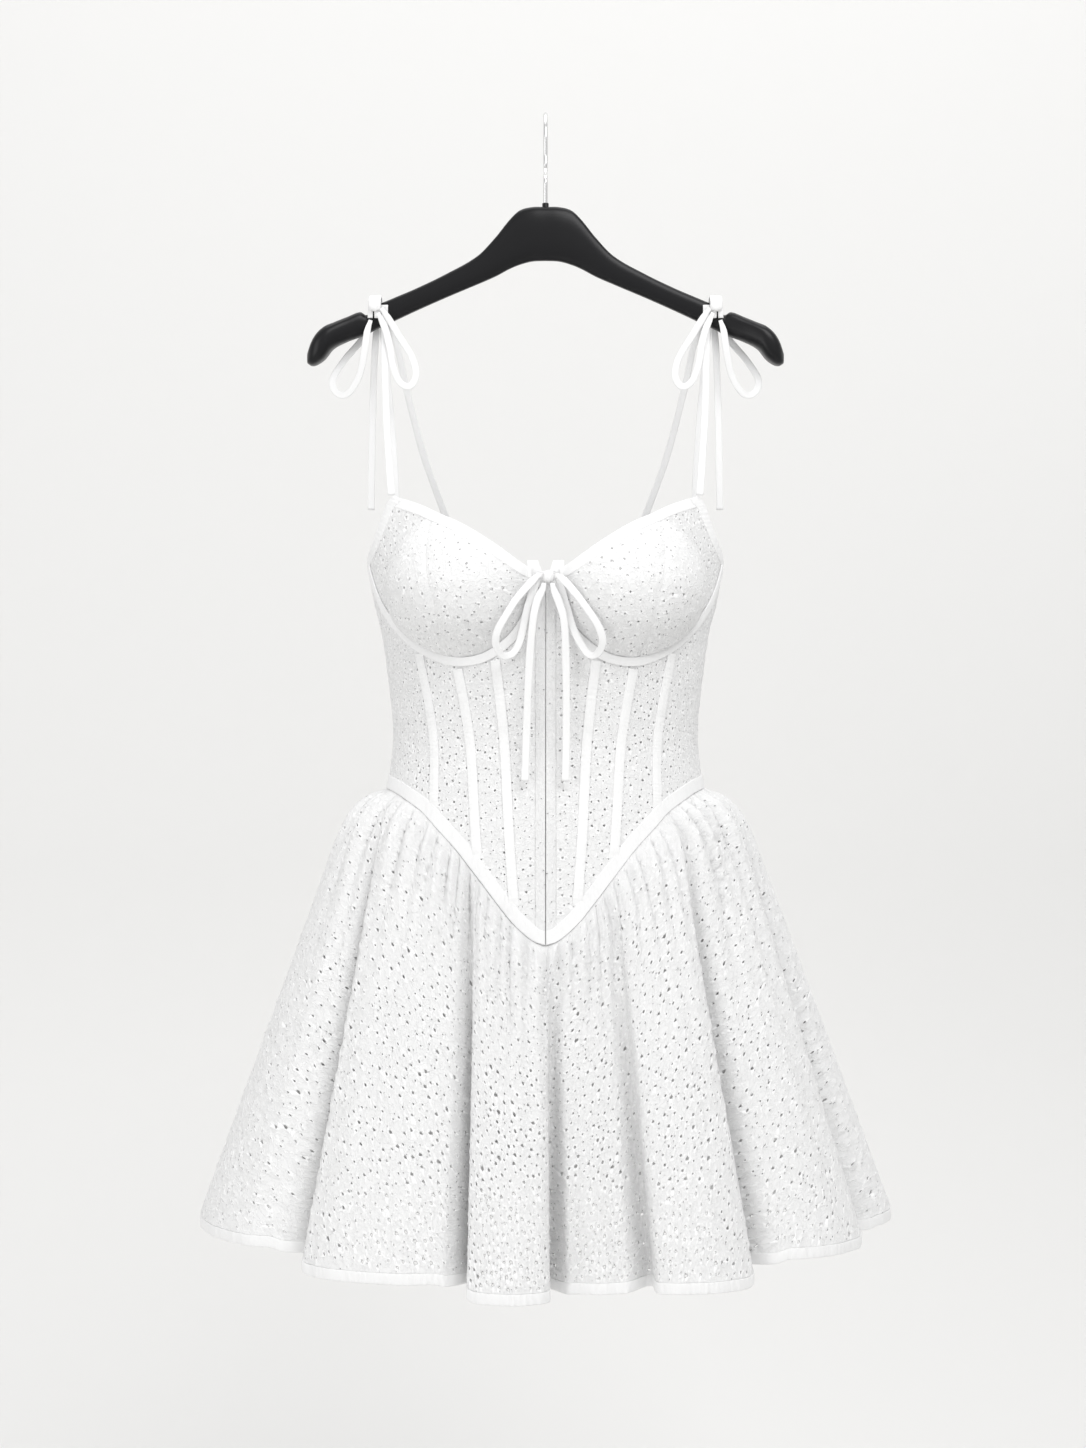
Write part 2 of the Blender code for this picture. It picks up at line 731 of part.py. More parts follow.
class Skirt:
    """Half of the skirt. A station runs along it from 0 to 1, and drop from 0 at the waist to 1 at the hem."""

    def __init__(self, start, folds, lobes):
        self.folds = folds
        self.lobes = lobes
        self.angles = [start + 180 * i / DENSE_STEPS for i in range(DENSE_STEPS + 1)]
        plain = [self.hem_base(angle) for angle in self.angles]
        self.run = self.lengths(plain)
        self.centres = [self.run_at(fold[0]) for fold in folds]
        knots = [(start, start)] + [fold[:2] for fold in folds] + [(start + 180, start + 180)]
        self.waists = [self.between(knots, angle) for angle in self.angles]
        hem = [self.hem_base(a) + self.fold_shift(a, s) for a, s in zip(self.angles, self.run)]
        seam = [self.seam_place(angle) for angle in self.waists]
        hem_run, self.seam_run = self.lengths(hem), self.lengths(seam)
        hem_total, seam_total = hem_run[-1], self.seam_run[-1]
        self.stations = [(h / hem_total + s / seam_total) / 2 for h, s in zip(hem_run, self.seam_run)]

    @staticmethod
    def lengths(places):
        run = [0.0]
        for first, second in zip(places, places[1:]):
            run.append(run[-1] + (second - first).length)
        return run

    @staticmethod
    def between(knots, key):
        for (first, low), (second, high) in zip(knots, knots[1:]):
            if key <= second:
                return low + (high - low) * (key - first) / (second - first)
        return knots[-1][1]

    @staticmethod
    def hem_base(angle):
        return oval(angle, HEM_HALF_WIDTH, HEM_FRONT_DEPTH, HEM_BACK_DEPTH, HEM_POWER)

    @staticmethod
    def seam_place(angle):
        """The waist seam, pointed at the front and level at the back."""
        if angle >= 180:
            return body_place(angle, WAIST_SIDE)
        height = crossing(WAIST_LINE, min(angle, 180 - angle))[1]
        return body_place(angle, height - POINT_EASE * math.exp(-(((angle - 90) / 2) ** 2)))

    def run_at(self, angle):
        place = (angle - self.angles[0]) / 180 * DENSE_STEPS
        low = min(int(place), DENSE_STEPS - 1)
        return self.run[low] + (self.run[low + 1] - self.run[low]) * (place - low)

    def lobe_value(self, run, column):
        """The lobes' own value here, changing over from one to the next at each fold."""
        value = self.lobes[0][column]
        for i, centre in enumerate(self.centres):
            change = self.lobes[i + 1][column] - self.lobes[i][column]
            value += change * smooth_step(0.5 + (run - centre) / (4 * self.folds[i][3]))
        return value

    def fold_shift(self, angle, run):
        """How far the folds move the hem's cloth from its plain oval."""
        step = 0.5
        along = (self.hem_base(angle + step) - self.hem_base(angle - step)).normalized()
        out = along.cross(Vector((0, 0, 1)))
        inward, sideways = 0.0, 0.0
        for (_, _, depth, mouth, lean), centre in zip(self.folds, self.centres):
            away = (run - centre) / mouth
            narrow, wide = math.exp(-(away**2)), math.exp(-((away / FOLD_SPREAD) ** 2))
            inward += depth * (FOLD_SHARP * narrow + (1 - FOLD_SHARP) * wide)
            sideways += lean * narrow
        return out * (self.lobe_value(run, 0) - inward) + along * sideways

    def at(self, station, drop):
        """A place on the skirt's outer face."""
        low, high = 0, DENSE_STEPS
        while high - low > 1:
            middle = (low + high) // 2
            if self.stations[middle] <= station:
                low = middle
            else:
                high = middle
        share = (station - self.stations[low]) / (self.stations[high] - self.stations[low])

        def mixed(values):
            return values[low] + (values[high] - values[low]) * share

        angle, run, waist = mixed(self.angles), mixed(self.run), mixed(self.waists)
        seam_run = mixed(self.seam_run)
        seam = self.seam_place(waist)
        seam.z -= WAIST_GAP
        hem = self.hem_base(angle)
        hem.z = self.lobe_value(run, 1) + HEM_BAND_WIDTH + HEM_GAP
        fallen = (seam.z - hem.z) * drop
        spread = PUFF_SHARE * (1 - math.exp(-fallen / PUFF_LENGTH)) + (1 - PUFF_SHARE) * drop
        place = seam.lerp(hem, spread)
        place.z = seam.z - fallen
        out = hem - seam
        out.z = 0
        out.normalize()
        growth = max(0, drop) ** FOLD_GROWTH * (1 - math.exp(-max(0, fallen) / FOLD_START))
        place += self.fold_shift(angle, run) * growth
        drift = GATHER_DRIFT * math.sin(seam_run / GATHER_DRIFT_RUN)
        wave = math.sin(2 * math.pi * (seam_run + drift) / GATHER_PITCH)
        strength = 0.75 + 0.25 * math.sin(seam_run / GATHER_CHANGE_RUN)
        fade = math.exp(-max(0, fallen) / (GATHER_FADE * strength))
        rise = GATHER_AT_SEAM + (1 - GATHER_AT_SEAM) * min(1, max(0, fallen) / FOLD_START)
        return place + out * (GATHER_DEPTH * wave * strength * fade * rise)

    def grid(self, columns, drops):
        stations = [min(max(c / columns, 0.0004), 0.9996) for c in range(columns + 1)]
        return [[self.at(station, drop) for station in stations] for drop in drops]


def grid_facing(grid, r, c):
    """The outward direction at one place of a grid whose rows run downwards."""
    row, above, below = grid[r], grid[max(r - 1, 0)], grid[min(r + 1, len(grid) - 1)]
    along = row[min(c + 1, len(row) - 1)] - row[max(c - 1, 0)]
    return along.cross(above[c] - below[c]).normalized()


def hem_rule(columns, rows, every):
    """The cells of the lowest rows that hold a large eyelet, with its place in the cell."""
    eyelets = {}
    for c in range(2, columns - 2):
        if c % 5 in every:
            radius = EYELET_RADII[(c * 3) % 4]
            tall = EYELET_PLACES[(c * 3) % 7]
            eyelets[rows - 1, c] = ((0.5, tall), radius)
        elif c % 11 == 4:
            eyelets[rows - 2, c] = ((0.5, 0.3 + 0.4 * (c % 2)), EYELET_RADII[c % 2])
    return eyelets


def roomy(outer, eyelets):
    """The eyelets whose cell is wide enough to hold them."""
    kept = {}
    for (r, c), (centre, radius) in eyelets.items():
        upper = (outer[r][c + 1] - outer[r][c]).length
        lower = (outer[r + 1][c + 1] - outer[r + 1][c]).length
        if min(upper, lower) > 2 * radius + EYELET_ROOM:
            kept[r, c] = (centre, radius)
    return kept


def make_skirt(cotton, tape):
    halves = (
        ("front", Skirt(0, FRONT_FOLDS, FRONT_LOBES), FRONT_COLUMNS, FRONT_ROWS, (0, 2, 3)),
        ("back", Skirt(180, BACK_FOLDS, BACK_LOBES), BACK_COLUMNS, BACK_ROWS, (1,)),
    )
    for name, half, columns, drops, every in halves:
        outer = half.grid(columns, drops)
        outs = [[grid_facing(outer, r, c) for c in range(columns + 1)] for r in range(len(drops))]
        for r in (0, -1):
            outs[r] = [Vector((n.x, n.y, 0)).normalized() for n in outs[r]]
        inner = [[p - n * WALL for p, n in zip(row, out)] for row, out in zip(outer, outs)]
        eyelets = roomy(outer, hem_rule(columns, len(drops) - 1, every))
        closed_wall("skirt_" + name, outer, inner, cotton, eyelets)
        raised = (HEM_BAND_THICK - WALL) / 2
        sides = []
        for shift in (raised, -WALL - raised):
            top = [p + n * shift for p, n in zip(outer[-1], outs[-1])]
            top = [place - Vector((0, 0, HEM_GAP)) for place in top]
            sides.append([top, [place - Vector((0, 0, HEM_BAND_WIDTH)) for place in top]])
        closed_wall("hem_band_" + name, *sides, tape)


def route_through(points, spacing):
    """Places on a smooth curve through the points, about this far apart."""
    keyed = [(i, *point) for i, point in enumerate(points)]
    last = len(points) - 1
    steps = 12 * last
    dense = [Vector(smooth_row(keyed, last * i / steps)) for i in range(steps + 1)]
    length = sum((b - a).length for a, b in zip(dense, dense[1:]))
    count = max(3, round(length / spacing) + 1)
    found, run, k = [dense[0]], 0.0, 0
    for i in range(1, count):
        wanted = length * i / (count - 1)
        while k < steps - 1 and run + (dense[k + 1] - dense[k]).length < wanted:
            run += (dense[k + 1] - dense[k]).length
            k += 1
        step = dense[k + 1] - dense[k]
        found.append(dense[k] + step * min(1, (wanted - run) / step.length))
    return found


def ribbon(name, points, width, material, spacing, face=Vector((0, -1, 0))):
    """A flat folded tape along a curve, its broad side turned towards face."""
    route = route_through(points, spacing)
    bm = bmesh.new()
    rings = []
    for i, place in enumerate(route):
        run = route[min(i + 1, len(route) - 1)] - route[max(i - 1, 0)]
        across = run.cross(face).normalized() * width / 2
        thick = across.cross(run).normalized() * TAPE_THICK / 2
        corners = (across + thick, thick - across, -across - thick, across - thick)
        rings.append([bm.verts.new((place + corner) * MM) for corner in corners])
    for first, second in zip(rings, rings[1:]):
        for k in range(4):
            n = (k + 1) % 4
            bm.faces.new((first[k], first[n], second[n], second[k]))
    bm.faces.new(rings[0])
    bm.faces.new(list(reversed(rings[-1])))
    return add_object(name, bm, material)


def other_side(points):
    return [(-x, y, z) for x, y, z in points]


def block(name, outline, start, end, material):
    """An outline in depth and height, extended from start to end across the dress."""
    bm = bmesh.new()
    ends = [[bm.verts.new(Vector((x, y, z)) * MM) for y, z in outline] for x in (start, end)]
    bm.faces.new(ends[0])
    bm.faces.new(list(reversed(ends[1])))
    for k in range(len(outline)):
        n = (k + 1) % len(outline)
        bm.faces.new((ends[0][k], ends[0][n], ends[1][n], ends[1][k]))
    return add_object(name, bm, material)


def hanger_at(across):
    return smooth_row(HANGER_PROFILE, abs(across))


SHOULDER_KNOT = (
    # depth, height, as a fold of tape over the hanger's arm
    (-13.2, -178.5),
    (-13.2, -161.5),
    (-7.0, -157.4),
    (6.0, -157.4),
    (13.4, -161.5),
    (13.4, -178.5),
    (7.7, -178.5),
    (7.7, -164.0),
    (-7.7, -164.0),
    (-7.7, -178.5),
)
SHOULDER_TIES = (
    # name, width, points as across, depth, height on the left shoulder
    (
        "strap_front",
        TAPE_WIDTH,
        (
            (-133.2, -45.2, -336.3),
            (-135.6, -37.0, -310.0),
            (-139.0, -25.0, -262.0),
            (-140.8, -13.5, -205.0),
            (-141.2, -8.3, -180.0),
            (-141.2, -8.0, -166.5),
        ),
    ),
    (
        "strap_back",
        TAPE_WIDTH,
        (
            (-66.0, 76.2, -404.6),
            (-84.0, 61.0, -362.0),
            (-107.0, 42.0, -300.0),
            (-122.0, 24.0, -243.0),
            (-131.0, 9.5, -200.0),
            (-138.0, 8.0, -176.0),
        ),
    ),
    (
        "tie_loop_outer",
        TAPE_WIDTH,
        (
            (-154.3, 12.6, -179.5),
            (-163.0, 12.6, -195.0),
            (-178.0, 10.5, -213.0),
            (-188.0, 6.5, -231.0),
            (-183.5, 1.0, -243.0),
            (-173.5, -3.5, -243.5),
            (-163.5, -7.5, -228.5),
            (-158.6, -12.0, -207.0),
            (-156.0, -13.0, -190.0),
            (-153.2, -11.4, -180.4),
        ),
    ),
    (
        "tie_loop_inner",
        TAPE_WIDTH,
        (
            (-144.0, -14.2, -170.0),
            (-137.5, -13.4, -179.5),
            (-129.0, -13.2, -193.5),
            (-117.0, -13.8, -213.0),
            (-113.4, -15.2, -229.0),
            (-118.5, -16.6, -239.0),
            (-127.5, -17.4, -235.5),
            (-133.5, -17.4, -221.0),
            (-136.6, -16.8, -203.0),
            (-140.5, -16.0, -188.0),
            (-146.6, -15.9, -174.5),
        ),
    ),
    (
        "tie_tail_outer",
        TAPE_WIDTH,
        (
            (-148.4, 9.4, -179.2),
            (-150.8, 9.4, -206.0),
            (-152.4, 10.0, -249.0),
            (-153.4, 9.0, -300.0),
            (-154.0, 9.0, -345.2),
        ),
    ),
    (
        "tie_tail_inner",
        5.4,
        (
            (-145.2, 12.6, -179.2),
            (-141.8, 13.0, -206.0),
            (-137.6, 14.0, -249.0),
            (-133.6, 13.0, -300.0),
            (-131.4, 12.0, -347.0),
        ),
    ),
)
BOW_KNOT = (
    # depth, height
    (-101.5, -404.5),
    (-103.0, -409.0),
    (-101.5, -414.5),
    (-90.9, -414.5),
    (-90.9, -404.5),
)
FRONT_BOW = (
    # name, width, points as across, depth, height
    (
        "bow_loop_left",
        BOW_TAPE_WIDTH,
        (
            (-2.7, -101.0, -408.8),
            (-6.5, -102.4, -409.0),
            (-13.5, -105.0, -416.0),
            (-24.5, -110.0, -429.0),
            (-33.0, -113.5, -442.5),
            (-40.2, -113.5, -455.5),
            (-42.0, -110.0, -466.5),
            (-37.0, -104.5, -476.2),
            (-28.6, -100.5, -475.2),
            (-22.6, -98.6, -466.0),
            (-18.6, -98.0, -451.0),
            (-14.8, -98.4, -434.0),
            (-6.8, -98.4, -413.4),
            (-3.9, -98.2, -411.8),
        ),
    ),
    (
        "bow_loop_right",
        BOW_TAPE_WIDTH,
        (
            (7.6, -101.0, -408.8),
            (10.5, -102.4, -409.2),
            (15.5, -105.0, -413.0),
            (25.0, -110.0, -424.0),
            (34.6, -113.5, -437.0),
            (43.5, -114.0, -450.5),
            (48.0, -111.5, -463.5),
            (44.6, -106.0, -474.0),
            (37.0, -102.0, -476.0),
            (28.8, -99.6, -465.0),
            (22.0, -98.6, -450.0),
            (17.4, -98.4, -434.0),
            (11.2, -98.4, -413.6),
            (8.8, -98.2, -411.8),
        ),
    ),
    (
        "bow_tail_left",
        6.6,
        (
            (-1.4, -101.4, -415.1),
            (-2.2, -101.8, -419.6),
            (-7.4, -102.4, -431.0),
            (-11.0, -102.2, -450.0),
            (-14.2, -97.0, -490.0),
            (-16.2, -91.6, -543.0),
            (-17.6, -93.2, -583.0),
        ),
    ),
    (
        "bow_tail_right",
        6.6,
        (
            (5.9, -101.4, -415.1),
            (6.4, -101.8, -419.6),
            (11.4, -102.4, -432.0),
            (15.8, -102.2, -450.0),
            (17.4, -97.0, -490.0),
            (17.6, -91.6, -543.0),
            (16.8, -93.2, -583.0),
        ),
    ),
)


def make_ties(tape):
    for name, width, points in SHOULDER_TIES:
        spacing = SHOULDER_LOOP_STEP if "loop" in name else TAPE_STEP
        ribbon(name + "_left", points, width, tape, spacing)
        ribbon(name + "_right", other_side(points), width, tape, spacing)
    inner, outer = SHOULDER_KNOT_SIDES
    block("tie_knot_left", SHOULDER_KNOT, -outer, -inner, tape)
    block("tie_knot_right", SHOULDER_KNOT, inner, outer, tape)
    for name, width, points in FRONT_BOW:
        ribbon(name, points, width, tape, BOW_LOOP_STEP if "loop" in name else TAPE_STEP)
    block("bow_knot", BOW_KNOT, *BOW_KNOT_SIDES, tape)


def make_hanger(plastic, steel):
    bm = bmesh.new()
    rings = []
    distances = [row[0] for row in HANGER_PROFILE]
    places = [-d for d in reversed(distances[1:])] + distances
    flat = signed_power(math.cos(math.pi / HANGER_SIDES), 3)
    for across in places:
        top, bottom, thick = hanger_at(across)
        middle, tall = (top + bottom) / 2, (top - bottom) / 2
        ring = []
        for k in range(HANGER_SIDES):
            turn = 2 * math.pi * (k + 0.5) / HANGER_SIDES
            depth = thick * signed_power(math.cos(turn), 3) / flat
            height = middle + tall * signed_power(math.sin(turn), 3) / flat
            ring.append(bm.verts.new(Vector((across, depth, height)) * MM))
        rings.append(ring)
    for first, second in zip(rings, rings[1:]):
        for k in range(HANGER_SIDES):
            n = (k + 1) % HANGER_SIDES
            bm.faces.new((first[k], first[n], second[n], second[k]))
    bm.faces.new(rings[0])
    bm.faces.new(list(reversed(rings[-1])))
    add_object("hanger_body", bm, plastic)

    bm = bmesh.new()
    foot = hanger_at(0)[0] + SEAM_GAP
    outlines = []
    for height in (COLLAR_TOP, foot):
        for radius in (COLLAR_WIDTH / 2, HOOK_WIRE / 2 + SEAM_GAP):
            outline = []
            for k in range(COLLAR_SIDES):
                turn = 2 * math.pi * k / COLLAR_SIDES
                place = Vector((radius * math.cos(turn), radius * math.sin(turn), height))
                outline.append(bm.verts.new(place * MM))
            outlines.append(outline)
    top_out, top_in, low_out, low_in = outlines
    for k in range(COLLAR_SIDES):
        n = (k + 1) % COLLAR_SIDES
        bm.faces.new((top_out[k], top_out[n], low_out[n], low_out[k]))
        bm.faces.new((top_in[k], low_in[k], low_in[n], top_in[n]))
        bm.faces.new((top_out[k], top_in[k], top_in[n], top_out[n]))
        bm.faces.new((low_out[k], low_out[n], low_in[n], low_in[k]))
    add_object("hanger_collar", bm, plastic)

    centre = -HOOK_RADIUS
    wire_radius = HOOK_RADIUS + HOOK_WIRE / 2
    route = [Vector((0, 0, foot)), Vector((0, 0, (foot + centre - wire_radius) / 2 - 2))]
    for i in range(HOOK_STEPS + 1):
        turn = math.radians(HOOK_FOOT_ANGLE + (180 - HOOK_FOOT_ANGLE) * i / HOOK_STEPS)
        route.append(Vector((0, wire_radius * math.cos(turn), centre + wire_radius * math.sin(turn))))
    route += [Vector((0, *place)) for place in HOOK_TIP]
    data = bpy.data.curves.new("hanger_hook", "CURVE")
    data.dimensions = "3D"
    data.bevel_depth = HOOK_WIRE / 2 * MM
    data.bevel_resolution = 2
    data.use_fill_caps = True
    data.materials.append(steel)
    spline = data.splines.new("POLY")
    spline.points.add(len(route) - 1)
    for point, place in zip(spline.points, route):
        point.co = (*(place * MM), 1)
    hook = bpy.data.objects.new("hanger_hook", data)
    bpy.context.scene.collection.objects.link(hook)


def main():
    for item in list(bpy.data.objects):
        bpy.data.objects.remove(item, do_unlink=True)
    cotton = make_material("eyelet_cotton", (0.84, 0.84, 0.84), 0.9)
    tape = make_material("cotton_tape", (0.88, 0.88, 0.88), 0.85)
    plastic = make_material("black_plastic", (0.02, 0.02, 0.02), 0.35)
    steel = make_material("hook_steel", (0.7, 0.7, 0.7), 0.2, 1.0)
    make_hanger(plastic, steel)
    make_cups(cotton)
    make_front_panels(cotton)
    make_channels(tape)
    make_bindings(tape)
    make_back_panels(cotton)
    make_waist_band(tape)
    make_opening(tape, cotton)
    make_skirt(cotton, tape)
    make_ties(tape)


main()
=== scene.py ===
"""The looks of the white eyelet corset dress on its black hanger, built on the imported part's own forms.

The frame is the part's: the origin is the inner crest of the hook, the dress faces -Y. Sizes are in
millimetres and turned into metres as each mesh is made. Places on the bodice are an angle round the body,
0 at the left side seam, 90 at the front centre, 180 at the right side seam and 270 at the back centre, with
a height under the hook.
"""

import math

import bpy
import numpy as np
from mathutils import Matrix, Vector
from mathutils.geometry import delaunay_2d_cdt
from mathutils.kdtree import KDTree

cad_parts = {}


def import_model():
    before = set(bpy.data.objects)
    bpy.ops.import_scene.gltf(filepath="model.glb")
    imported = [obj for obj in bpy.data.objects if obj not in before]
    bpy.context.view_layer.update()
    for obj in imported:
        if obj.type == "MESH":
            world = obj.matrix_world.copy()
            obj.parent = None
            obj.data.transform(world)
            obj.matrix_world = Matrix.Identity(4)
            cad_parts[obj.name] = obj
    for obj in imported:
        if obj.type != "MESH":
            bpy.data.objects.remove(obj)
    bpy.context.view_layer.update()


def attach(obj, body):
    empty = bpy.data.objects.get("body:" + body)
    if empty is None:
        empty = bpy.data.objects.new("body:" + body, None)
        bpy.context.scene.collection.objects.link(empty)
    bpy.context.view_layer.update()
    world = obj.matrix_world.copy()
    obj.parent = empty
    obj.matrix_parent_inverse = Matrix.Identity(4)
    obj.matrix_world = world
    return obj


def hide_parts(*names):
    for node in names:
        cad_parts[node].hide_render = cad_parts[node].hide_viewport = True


MM = 0.001

# Widths of the bands, and how far they stand from the cloth's face
WALL = 1.2
SEAM_GAP = 0.3
BINDING_WIDTH = 9.3
CHANNEL_WIDTH = 8.4
UNDERWIRE_WIDTH = 8.0
WAIST_BAND_WIDTH = 11.5
HEM_BAND_WIDTH = 9.0
HEM_GAP = 0.9
WAIST_GAP = 0.5
TUCK = 1.6
TAPE_POWER = 5
TAPE_LOW = -2.0
TAPE_HIGH = 0.8

# Rings of a worked eyelet, from its turned-in wall to the flat cloth
EYELET_RINGS = (
    # points, share of the radius, further out, lift, raised stitching above 0 and painted shade on the eyelet
    # wall below 0
    (7, 0.62, 0.0, -1.1, -1.0),
    (7, 1.0, 0.15, 0.35, 1.0),
    (5, 1.0, 0.95, 0.0, 0.0),
)

LONGEST_EYELET = 0.34

# Eyelets strewn over the cloth: spacing, least and greatest radius, and the margin to the edge
CUP_EYELETS = (6.3, 0.7, 1.55)
PANEL_EYELETS = (5.7, 0.55, 1.3)
EYELET_MARGIN = 2.3
EYELET_TRIES = 4000
SKIRT_EYELET_SPACING = 7.5
SKIRT_EYELET_MARGIN = 3.5
SKIRT_EYELET_TRIES = 90000
FRONT_EYELETS = 3900
BACK_EYELETS = 3500
CLOTH_PITCH = (4.2, 3.8)

# Bodice sections, cups and seams, as on the part
SECTIONS = (
    # height, half width, front depth, back depth, power
    (-735, 160.0, 106, 102, 2.20),
    (-640, 148.0, 95, 90, 2.20),
    (-590, 139.0, 86, 80, 2.20),
    (-562, 134.7, 81, 74, 2.20),
    (-544, 133.8, 80, 72, 2.20),
    (-517, 135.4, 83, 74, 2.20),
    (-486, 139.2, 87, 77, 2.20),
    (-459, 142.8, 89, 79, 2.20),
    (-425, 151.0, 91, 80, 2.20),
    (-392, 156.0, 89, 80, 2.15),
    (-360, 157.5, 83, 77, 2.10),
    (-325, 158.0, 72, 74, 2.10),
)
CUP_X = 77
CUP_HEIGHT = -416
CUP_RADIUS = 62
CUP_LIFT = 38
CUP_ROUNDNESS = 2.4
CUP_UPPER_EASE = 0.35
NECKLINE = (
    # angle, height
    (34.0, -337),
    (42.0, -341.5),
    (50.5, -348),
    (63.2, -363),
    (74.8, -381.5),
    (83.2, -397),
    (86.5, -402),
)
ARMHOLE_AND_BACK = (
    # angle, height
    (34.0, -337),
    (29.4, -345),
    (26.3, -355),
    (21.8, -367),
    (15.7, -379),
    (3.0, -391),
    (-10.0, -398),
    (-30.0, -402),
    (-60.0, -405),
    (-90.0, -407),
)
CUP_CORNER_ANGLE = 11
UNDERWIRE = (
    # angle, height, from the armhole to the front centre
    (17.5, -418),
    (25.5, -438),
    (36.0, -456),
    (46.5, -468.5),
    (57.6, -476.5),
    (66.9, -475.6),
    (73.5, -469),
    (79.7, -456.5),
    (83.6, -440.5),
    (85.3, -424),
)
CUP_SEAM = (
    # angle, height, between the neckline and the underwire
    (53.7, -373),
    (57.4, -414),
    (58.8, -431),
)
CUP_SEAM_TOP = 51.4
CUP_SEAM_FOOT = 57.6
BONING_SEAMS = (
    # name, angle at the cup, angle at the waist
    ("a", 40.7, 49.7),
    ("b", 58.9, 69.5),
    ("c", 73.8, 81.7),
)
WAIST_SEAM = (
    # angle, height
    (0.0, -590),
    (14.0, -591.5),
    (27.0, -596),
    (42.4, -608),
    (52.5, -624),
    (60.6, -640),
    (66.7, -656),
    (72.2, -672.5),
    (77.2, -689),
    (81.1, -702),
    (84.7, -712),
    (87.3, -718),
    (90.0, -721),
)
WAIST_SIDE = -590
PLACKET_WIDTH = 8.6
OPENING_HALF = 0.35
PLACKET_TOP = -404.5
TAPE_EDGE = (
    # distance from the front centre, height
    (6.4, -395),
    (2.6, -406),
    (0.2, -420),
    (0.2, -560),
    (0.2, -700),
)
OPENING_TAPE_WIDTH = 16
BACK_PANEL_SEAM = 244

# Soft folds of the cups: angle, height, lean, depth, half width
CUP_FOLDS = (
    (36, -436, 0.35, 0.9, 2.6),
    (42, -447, 0.3, 0.7, 2.4),
    (30, -425, 0.4, 0.6, 2.2),
    (70, -452, -0.3, 0.6, 2.6),
    (50, -458, 0.1, 0.5, 2.0),
)
CUP_FOLD_REACH = 16
CUP_MM_PER_DEGREE = 2.4
CUP_SEAM_HEIGHTS = (-476, -431, -414, -373, -345)
CUP_SEAM_ANGLES = (57.6, 58.8, 57.4, 53.7, 51.4)
CUP_SEAM_DIP = 1.1
CUP_SEAM_HALF = 1.8

# The plane of the bodice cloth is the angle times this many millimetres, with the height
PLANE_PER_DEGREE = 2.3

# Skirt, as on the part
HEM_HALF_WIDTH = 301
HEM_FRONT_DEPTH = 213
HEM_BACK_DEPTH = 190
HEM_POWER = 2.1
PUFF_SHARE = 0.166
PUFF_LENGTH = 14
POINT_EASE = 1.4
GATHER_PITCH = 15
GATHER_DEPTH = 4.2
GATHER_FADE = 62
GATHER_DRIFT = 2.2
GATHER_DRIFT_RUN = 23
GATHER_CHANGE_RUN = 31

# Looks of the skirt: pleats as ranges of shift along the seam, depth, width and reach down
MAIN_PLEATS = ((-2.4, 2.4), (7.5, 11.5), (1.9, 2.9), (45, 130))
SMALL_PLEATS = ((4.5, 10.5), (3.0, 6.5), (1.2, 1.8), (14, 45))
PLEAT_SWELL = 4.4
PLEAT_SWELL_FADE = 45
PLEAT_START = 7
FOLD_NARROW = 0.62
FOLD_WIDE = 2.6
FOLD_SHARP = 0.74
FOLD_LEAN = 1.7

# The skirt's plane: its height stands for the drop, and its width grows towards the hem
SKIRT_TALL = 340
SEAM_EASE = 1.12
TUCKED_UP = 4.0
LATTICE_START = -1.5
LATTICE = (
    # least step, growth, share of the drop that it grows over, first across and then down
    (1.35, 4.65, 0.5),
    (2.8, 2.8, 0.45),
)
FLATTEST_STRETCH = 1.7
FIRST_EYELETS = 0.045
FRONT_FOLDS = (
    # hem angle, waist angle, depth, mouth, lean to the right
    (44.5, 27, 60, 12, 9),
    (76.6, 67, 56, 10, 6),
    (92, 92, 54, 9, -7),
    (104.8, 107, 40, 12, 8),
    (127.4, 134, 58, 12, -9),
    (159.5, 172, 44, 12, -6),
)
FRONT_LOBES = (
    # stands out, hem height
    (0, -971),
    (2, -989),
    (8, -1002),
    (-28, -1001),
    (2, -997),
    (0, -977),
    (0, -966),
)
BACK_FOLDS = (
    # hem angle, waist angle, depth, mouth, lean
    (205, 196, 46, 13, 6),
    (231, 226, 54, 13, -6),
    (254, 250, 46, 12, 6),
    (279, 280, 54, 13, -6),
    (305, 308, 48, 12, 7),
    (333, 340, 50, 13, -6),
)
BACK_LOBES = (
    # stands out, hem height
    (0, -966),
    (4, -971),
    (0, -975),
    (-10, -972),
    (6, -976),
    (0, -972),
    (0, -971),
)

# Hanger, as on the part
HOOK_RADIUS = 25
HOOK_WIRE = 3.7
HOOK_FOOT_ANGLE = -82
HOOK_TIP = ((-26.9, -40), (-28.6, -50.5))
HANGER_POWER = 3
COLLAR_TOP = -75.8
COLLAR_WIDTH = 5.8
HANGER_PROFILE = (
    # distance from the centre, top, bottom, half thickness
    (0, -79.2, -126.6, 7.0),
    (12, -79.4, -127.2, 7.0),
    (23, -82.5, -130.2, 6.6),
    (32, -91.0, -134.0, 6.2),
    (44, -106.0, -140.4, 6.0),
    (60, -122.5, -147.4, 5.8),
    (88, -138.5, -159.2, 5.8),
    (115, -151.5, -171.2, 6.0),
    (138, -161.3, -182.0, 6.6),
    (149, -166.5, -187.0, 7.0),
    (157, -174.5, -191.3, 7.6),
    (163, -171.9, -193.6, 8.6),
    (175, -176.5, -198.0, 11.0),
    (187, -181.5, -204.4, 14.0),
    (194, -184.5, -213.0, 15.5),
    (201, -190.5, -218.0, 15.0),
    (206, -198.5, -219.0, 12.0),
    (209.4, -208.0, -217.0, 6.0),
)

